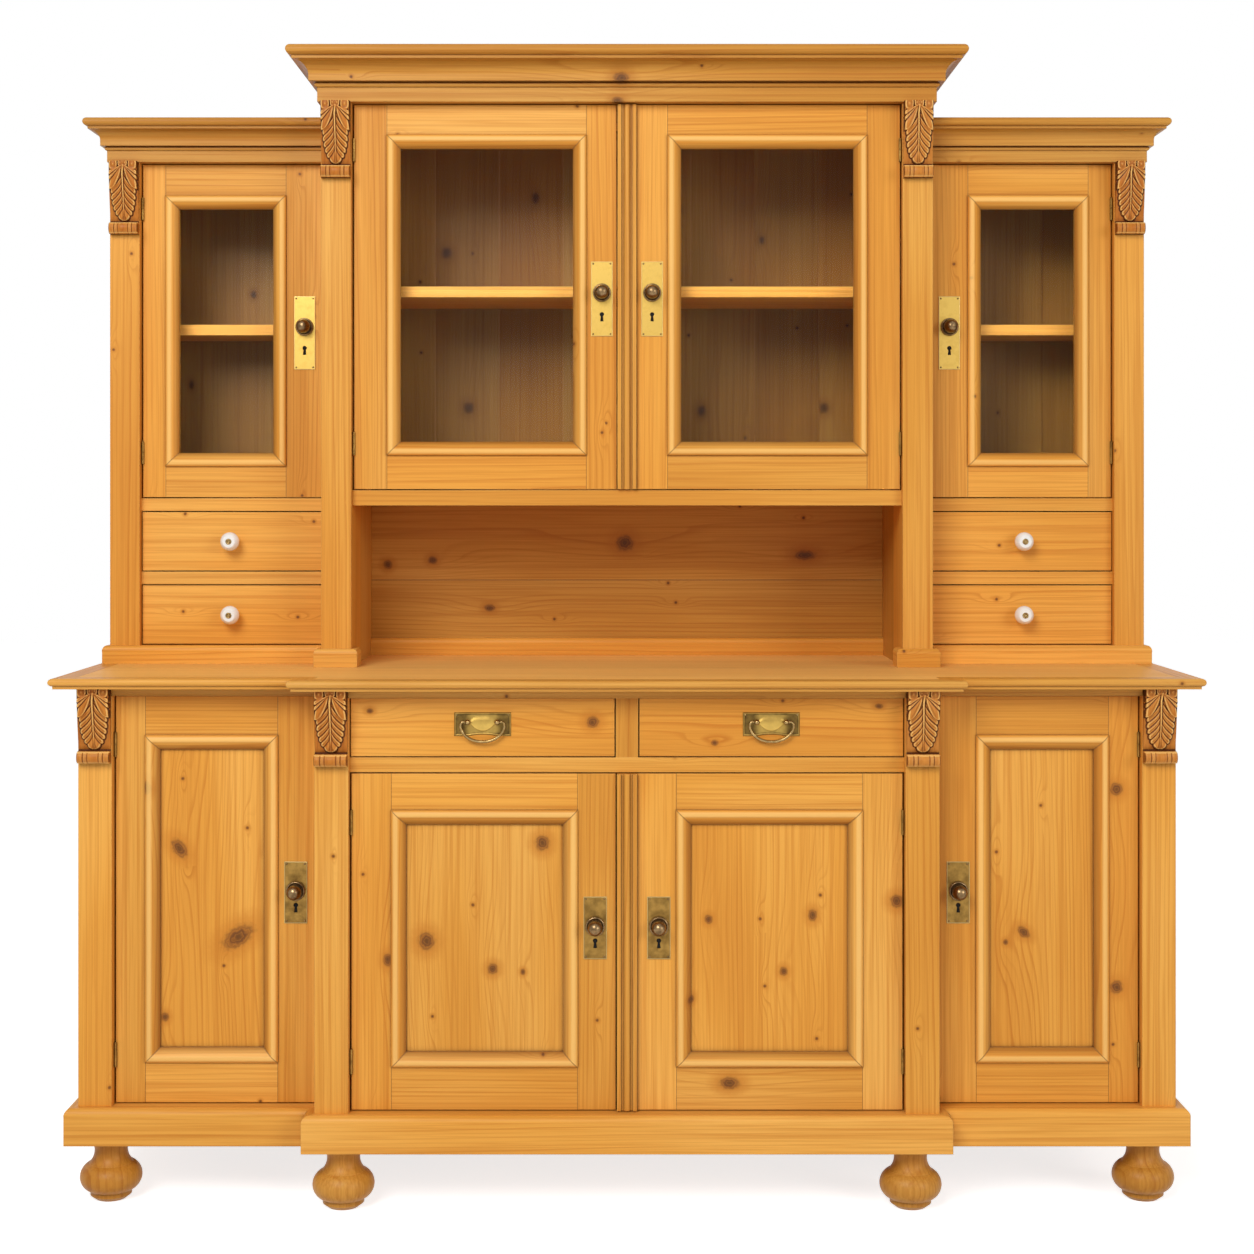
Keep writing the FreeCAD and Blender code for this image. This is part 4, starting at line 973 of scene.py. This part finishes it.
def carve_corbels():
    """Carves a relief in place of each corbel's stock."""
    columns, rows = CARVED_GRID
    heights = [[softened(i, j, columns, rows) for i in range(columns)] for j in range(rows)]
    hollows = cavities(heights)
    paint = pine("carved_pine", "z", CARVED_VARIANT, shade=CARVED_SHADE, hollows=True)
    mesh = nodes["carved_corbels"].data
    pieces = []
    for number, polygons in enumerate(solids_of(mesh)):
        low, high = span(mesh, polygons)

        def place(i, j, front):
            x = low[0] + (high[0] - low[0]) * i / (columns - 1)
            z = high[2] - (high[2] - low[2]) * j / (rows - 1)
            return (x, high[1] - (heights[j][i] * MM if front else 0.0), z)

        relief = relief_mesh(f"carved_corbel_{number}", columns, rows, place, lambda i, j: hollows[j][i])
        pieces.append(add_piece(relief.name, relief, "carcass", paint))
    for piece in pieces:
        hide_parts("carved_corbels")


# Drop handles: a stamped plate with a bright swelled middle, two ball-headed posts and a bent bail, in
# millimetres from the middle of the plate
PLATE_HALF = (48.0, 20.0)
PLATE_GRID = (129, 55)
FOOT_DIP = 2.5
FOOT_DIP_HALF = 24.0
# Heights of the stamping: the ground, the bead along the rim, the fall at the edge and the shield
STAMP_GROUND = 1.1
STAMP_BEAD = 0.9
STAMP_BEAD_HALF = 1.1
STAMP_EDGE = 0.6
STAMP_EDGE_WIDTH = 0.6
RIM_WIDTH = 3.2
SHIELD_HEIGHT = 1.4
SHIELD_HALF = 24.0
SHIELD_TOP = 15.0
SHIELD_LOW = -12.9
SHIELD_TIP = 3.5
SHIELD_LOW_SLOPE = 3.0
SHIELD_TOP_SLOPE = 9.0
# Shares of dark patina: the field and its ends, the shield, the rim and the line inside it; the shield also
# gets darker toward its top
FIELD_SHARE = 0.5
ENDS_SHARE = 0.42
ENDS_REACH = (18.0, 32.0)
SHIELD_SHARE = 0.04
SHIELD_TOP_SHARE = 0.5
SHIELD_REACH = (-4.0, 13.0)
RIM_SHARE = 0.68
RIM_REACH = (-1.0, 1.0)
INNER_LINE_SHARE = 0.4
INNER_LINE_GAP = 0.6
INNER_LINE_WIDTH = 0.7
# Turned forms are given by pairs of radius and height
POST_X = 24.75
POST_Z = 4.0
POST_OUT = 9.0
POST_STEM = [(0.0, 1.5), (3.4, 1.5), (3.4, 2.6), (2.3, 3.2)]
BALL_RADIUS = 4.7
BALL_STEPS = 12
BALL_START_SHARE = 0.16
HANDLE_SCREW_INSET = 4.2
HANDLE_SCREW_OUT = 1.2
HANDLE_SCREW = (1.7, 0.9)
HANDLE_SCREW_TURNS = 12
BAIL_PATH = ((29.3, 0.0), (32.6, 1.6), (37.6, -1.6), (37.0, -10.5), (31.8, -20.5), (21.0, -29.0),
             (8.0, -32.6), (0.0, -32.6))
BAIL_RADIUS = 2.05
BAIL_END_SHARE = 0.85
BAIL_SWELL_SHARE = 0.4
RING_HALF = 0.8
RING = ((0.0, 0.0), (2.5, 0.0), (2.9, 0.4), (2.9, 1.2), (2.5, 1.6), (0.0, 1.6))
COLLAR = ((0.0, 0.0), (2.4, 0.0), (2.6, 0.7), (2.4, 1.4), (0.0, 1.4))


def eased(value, low, high):
    """0 below a range, 1 above it and smooth between."""
    share = min(1.0, max(0.0, (value - low) / (high - low)))
    return share * share * (3 - 2 * share)


def plate_foot(x):
    """Lower edge of the plate, which curves up in the middle."""
    return -PLATE_HALF[1] + (FOOT_DIP * (1 - (x / FOOT_DIP_HALF) ** 2) if abs(x) < FOOT_DIP_HALF else 0.0)


def stamped(x, z):
    """Height of the stamped plate at a place, and how dark its patina is there."""
    edge = min(PLATE_HALF[0] - abs(x), PLATE_HALF[1] - z, z - plate_foot(x))
    height = STAMP_GROUND + STAMP_BEAD * bell(edge - RIM_WIDTH / 2, STAMP_BEAD_HALF)
    height -= STAMP_EDGE * bell(edge, STAMP_EDGE_WIDTH)
    share = min(1.0, abs(x) / SHIELD_HALF)
    top = SHIELD_TOP - (SHIELD_TOP - SHIELD_TIP) * share ** 4
    low = SHIELD_LOW + (SHIELD_TIP - SHIELD_LOW) * share ** 2
    inner = eased(z - low, 0.0, SHIELD_LOW_SLOPE) * eased(top - z, 0.0, SHIELD_TOP_SLOPE)
    dark = FIELD_SHARE + ENDS_SHARE * eased(abs(x), *ENDS_REACH)
    dark += inner * (SHIELD_SHARE + SHIELD_TOP_SHARE * eased(z, *SHIELD_REACH) - dark)
    dark += eased(RIM_WIDTH - edge, *RIM_REACH) * (RIM_SHARE - dark)
    dark += INNER_LINE_SHARE * bell(edge - RIM_WIDTH - INNER_LINE_GAP, INNER_LINE_WIDTH)
    return height + SHIELD_HEIGHT * inner, min(1.0, dark)


def stamped_plate(drawer, middle):
    """The plate of a drop handle, as a relief."""
    columns, rows = PLATE_GRID

    def at(i, j):
        x = PLATE_HALF[0] * (2 * i / (columns - 1) - 1)
        foot = plate_foot(x)
        return x, foot + (PLATE_HALF[1] - foot) * j / (rows - 1)

    def place(i, j, front):
        x, z = at(i, j)
        return middle + Vector((x, -stamped(x, z)[0] if front else 0.0, z)) * MM

    plate = relief_mesh(f"{drawer}_stamped_plate", columns, rows, place, lambda i, j: stamped(*at(i, j))[1])
    piece = add_piece(plate.name, plate, drawer, paints["stamped_brass"])
    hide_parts(f"{drawer}_handle_plate")


def handle_posts(drawer, middle):
    """The two ball-headed posts of a drop handle, and the screws in the upper corners of its plate."""
    ball = []
    for i in range(1, BALL_STEPS + 1):
        angle = math.pi * (BALL_START_SHARE + (1 - BALL_START_SHARE) * i / BALL_STEPS)
        radius = BALL_RADIUS * math.sin(angle) if i < BALL_STEPS else 0.0
        ball.append((radius, POST_OUT - BALL_RADIUS * math.cos(angle)))
    posts = bmesh.new()
    for end in (-1, 1):
        foot = middle + Vector((end * POST_X, 0.0, POST_Z)) * MM
        lathe(posts, POST_STEM + ball, foot, FORWARD)
        screw = Vector((end * (PLATE_HALF[0] - HANDLE_SCREW_INSET), -HANDLE_SCREW_OUT,
                        PLATE_HALF[1] - HANDLE_SCREW_INSET))
        lathe(posts, [(0.0, 0.0)] + dome(*HANDLE_SCREW), middle + screw * MM, FORWARD, HANDLE_SCREW_TURNS)
    add_form(f"{drawer}_handle_posts", posts, drawer, "worn_brass")


def bail_wire(middle):
    """Bmesh of a bail's bent wire, thicker toward its middle."""
    half = [Vector((x, -POST_OUT, POST_Z + z)) for x, z in BAIL_PATH]
    path = half + [Vector((-p.x, p.y, p.z)) for p in reversed(half[:-1])]
    curve = bpy.data.curves.new("bail_path", "CURVE")
    curve.dimensions = "3D"
    curve.bevel_depth = BAIL_RADIUS * MM
    curve.bevel_resolution = 5
    curve.resolution_u = 10
    curve.use_fill_caps = True
    spline = curve.splines.new("NURBS")
    spline.points.add(len(path) - 1)
    for i, (point, offset) in enumerate(zip(spline.points, path)):
        point.co = (*(middle + offset * MM), 1.0)
        point.radius = BAIL_END_SHARE + BAIL_SWELL_SHARE * math.sin(math.pi * i / (len(path) - 1))
    spline.order_u = 4
    spline.use_endpoint_u = True
    holder = shown("bail_path", curve)
    bpy.context.view_layer.update()
    wire = bpy.data.meshes.new_from_object(holder.evaluated_get(bpy.context.evaluated_depsgraph_get()))
    bpy.data.objects.remove(holder)
    shape = bmesh.new()
    shape.from_mesh(wire)
    bpy.data.meshes.remove(wire)
    return shape


def bent_bail(drawer, middle):
    """The bail of a drop handle, with a ring round its middle and a collar at each end."""
    shape = bail_wire(middle)
    foot = middle + Vector((-RING_HALF, -POST_OUT, POST_Z + BAIL_PATH[-1][1])) * MM
    lathe(shape, RING, foot, (1, 0, 0))
    for end in (-1, 1):
        collar = middle + Vector((end * BAIL_PATH[0][0], -POST_OUT, POST_Z)) * MM
        lathe(shape, COLLAR, collar, (end, 0, 0))
    bail = add_form(f"{drawer}_bent_bail", shape, f"{drawer}_bail", "worn_brass")
    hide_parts(f"{drawer}_bail")


def drop_handle(drawer):
    """Plate, posts and bail of a wide drawer's handle."""
    low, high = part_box(f"{drawer}_handle_plate")
    middle = middle_at(low, high, high[1])
    stamped_plate(drawer, middle)
    handle_posts(drawer, middle)
    bent_bail(drawer, middle)


# Screws and keyholes of the door plates, and the fixing screws of the porcelain knobs, in millimetres
SCREW_INSET = 3.9
SCREW = (1.7, 0.8)
SCREW_TURNS = 14
KEY_RADIUS = 3.8
KEY_STEPS = 20
KEY_WAIST_HALF = 1.65
KEY_FOOT_HALF = 2.95
KEY_DROP = 12.5
KEY_LAYERS = (0.1, 0.5)
# How far a keyhole is below the middle of its plate
KEY_DROPS = {"base": 21.6, "upper": 28.0}
KNOB_SCREW = ((0.0, -0.4), (5.6, -0.4), (5.6, 0.3), (5.0, 1.1), (4.0, 1.3), (3.3, 0.8), (3.1, 0.2),
              (2.6, 0.3), (2.5, 1.0), (1.2, 1.3), (0.9, 0.7), (0.0, 0.7))


def plate_screws(door, low, high):
    """A screw head in each corner of a door plate."""
    screws = bmesh.new()
    for x in (low[0] + SCREW_INSET * MM, high[0] - SCREW_INSET * MM):
        for z in (low[2] + SCREW_INSET * MM, high[2] - SCREW_INSET * MM):
            lathe(screws, [(0.0, 0.0)] + dome(*SCREW), (x, low[1], z), FORWARD, SCREW_TURNS)
    add_form(f"{door}_plate_screws", screws, door, "bronze")


def keyhole(door, centre):
    """A thin near-black sheet inside the plate, a painted shadow for the depth of a keyhole: a round head
    over a foot that widens downward.
    """
    turn = math.asin(KEY_WAIST_HALF / KEY_RADIUS)
    outline = [(-KEY_FOOT_HALF, -KEY_DROP), (KEY_FOOT_HALF, -KEY_DROP)]
    for i in range(KEY_STEPS + 1):
        angle = -math.pi / 2 + turn + (2 * math.pi - 2 * turn) * i / KEY_STEPS
        outline.append((KEY_RADIUS * math.cos(angle), KEY_RADIUS * math.sin(angle)))
    hole = bmesh.new()
    layers = []
    for out in KEY_LAYERS:
        layers.append([hole.verts.new(centre + Vector((x, -out, z)) * MM) for x, z in outline])
    for layer in layers:
        hole.faces.new(layer)
    for i in range(len(outline)):
        hole.faces.new((layers[0][i - 1], layers[0][i], layers[1][i], layers[1][i - 1]))
    # The keyhole sheet is a painted shadow, not a hole
    add_form(f"{door}_keyhole", hole, door, "keyhole")


def plate_details(side, kind):
    """Screws and keyhole of one door's plate."""
    door = f"{side}_{kind}_door"
    mesh = nodes[f"{side}_{kind}_fittings"].data
    low, high = span(mesh, solids_of(mesh)[PLATE])
    plate_screws(door, low, high)
    drop = KEY_DROPS[kind.split("_")[0]] * MM
    keyhole(door, middle_at(low, high, high[1], drop))


def porcelain_screw(side, level):
    """Brass fixing screw in the front of a porcelain knob."""
    drawer = f"{side}_small_{level}_drawer"
    low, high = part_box(f"{drawer}_knob")
    shape = bmesh.new()
    lathe(shape, KNOB_SCREW, middle_at(low, high, low[1]), FORWARD)
    add_form(f"{drawer}_knob_screw", shape, drawer, "worn_brass")


carve_corbels()
for side in SIDES:
    drop_handle(f"{side}_wide_drawer")
    for kind in ("base_side", "base_centre", "upper_side", "upper_centre"):
        plate_details(side, kind)
    for level in ("upper", "lower"):
        porcelain_screw(side, level)

# Floor, light and camera
FLOOR_HALF = 14.0
FLOOR_LIFT = 0.75
FLOOR_WAVES = 3.0
HALF_BOUNCE = 0.5
AMBIENT = 0.25
LIGHTS = (("key_light", (-1.7, -4.4, 3.9), 185.0), ("fill_light", (4.2, -4.6, 2.4), 98.0))
LIGHT_AIM = (0.0, 0.0, 1.0)
LIGHT_SIZE = 2.4
CAMERA_Y = -3.8233
CAMERA_Z = 1.197
LENS = 60.79
SHIFT_Y = -0.1013


def seen_directly(s):
    """1 where the camera sees a place, itself or by way of glass or gloss, and 0 for light on the object."""
    path = s.add("ShaderNodeLightPath").outputs
    seen = s.math("MAXIMUM", path["Is Glossy Ray"], path["Is Transmission Ray"])
    seen = s.math("MAXIMUM", path["Is Camera Ray"], seen)
    return s.math("MULTIPLY", seen, s.math("LESS_THAN", path["Diffuse Depth"], HALF_BOUNCE))


def floor_paint():
    """Pale floor, lifted to white where it is seen, but for its shadows."""
    s = Shader("pale_floor")
    tint = s.mix(s.noise(s.where, FLOOR_WAVES), FLOOR_GREY, FLOOR_PALE)
    return s.finish(Base_Color=tint, Roughness=0.9, Emission_Color=WHITE,
                    Emission_Strength=s.math("MULTIPLY", seen_directly(s), FLOOR_LIFT))


def make_floor():
    """Level floor under the feet, as part of the stage."""
    mesh = bpy.data.meshes.new("floor")
    h = FLOOR_HALF
    mesh.from_pydata([(-h, -h, 0), (h, -h, 0), (h, h, 0), (-h, h, 0)], [], [(0, 1, 2, 3)])
    floor = shown("floor", mesh)
    mesh.materials.append(floor_paint())


def soft_light(name, place, power):
    """Square lamp that looks at the middle of the dresser."""
    lamp = bpy.data.lights.new(name, "AREA")
    lamp.shape = "RECTANGLE"
    lamp.size = LIGHT_SIZE
    lamp.size_y = LIGHT_SIZE
    lamp.energy = power
    holder = shown(name, lamp)
    holder.location = place
    holder.rotation_euler = (Vector(LIGHT_AIM) - Vector(place)).to_track_quat("-Z", "Y").to_euler()


make_floor()
for light in LIGHTS:
    soft_light(*light)

world = bpy.data.worlds.new("studio")
bpy.context.scene.world = world
world.use_nodes = True
studio = Nodes(world.node_tree)
background = studio.tree.nodes["Background"]
studio.put(background.inputs["Strength"], studio.math("MAXIMUM", seen_directly(studio), AMBIENT))
studio.put(background.inputs["Color"], WHITE)

camera = shown("camera", bpy.data.cameras.new("camera"))
camera.location = (0, CAMERA_Y, CAMERA_Z)
camera.rotation_euler = (math.pi / 2, 0, 0)
camera.data.lens = LENS
camera.data.shift_y = SHIFT_Y
bpy.context.scene.camera = camera
bpy.context.scene.view_settings.view_transform = "Standard"
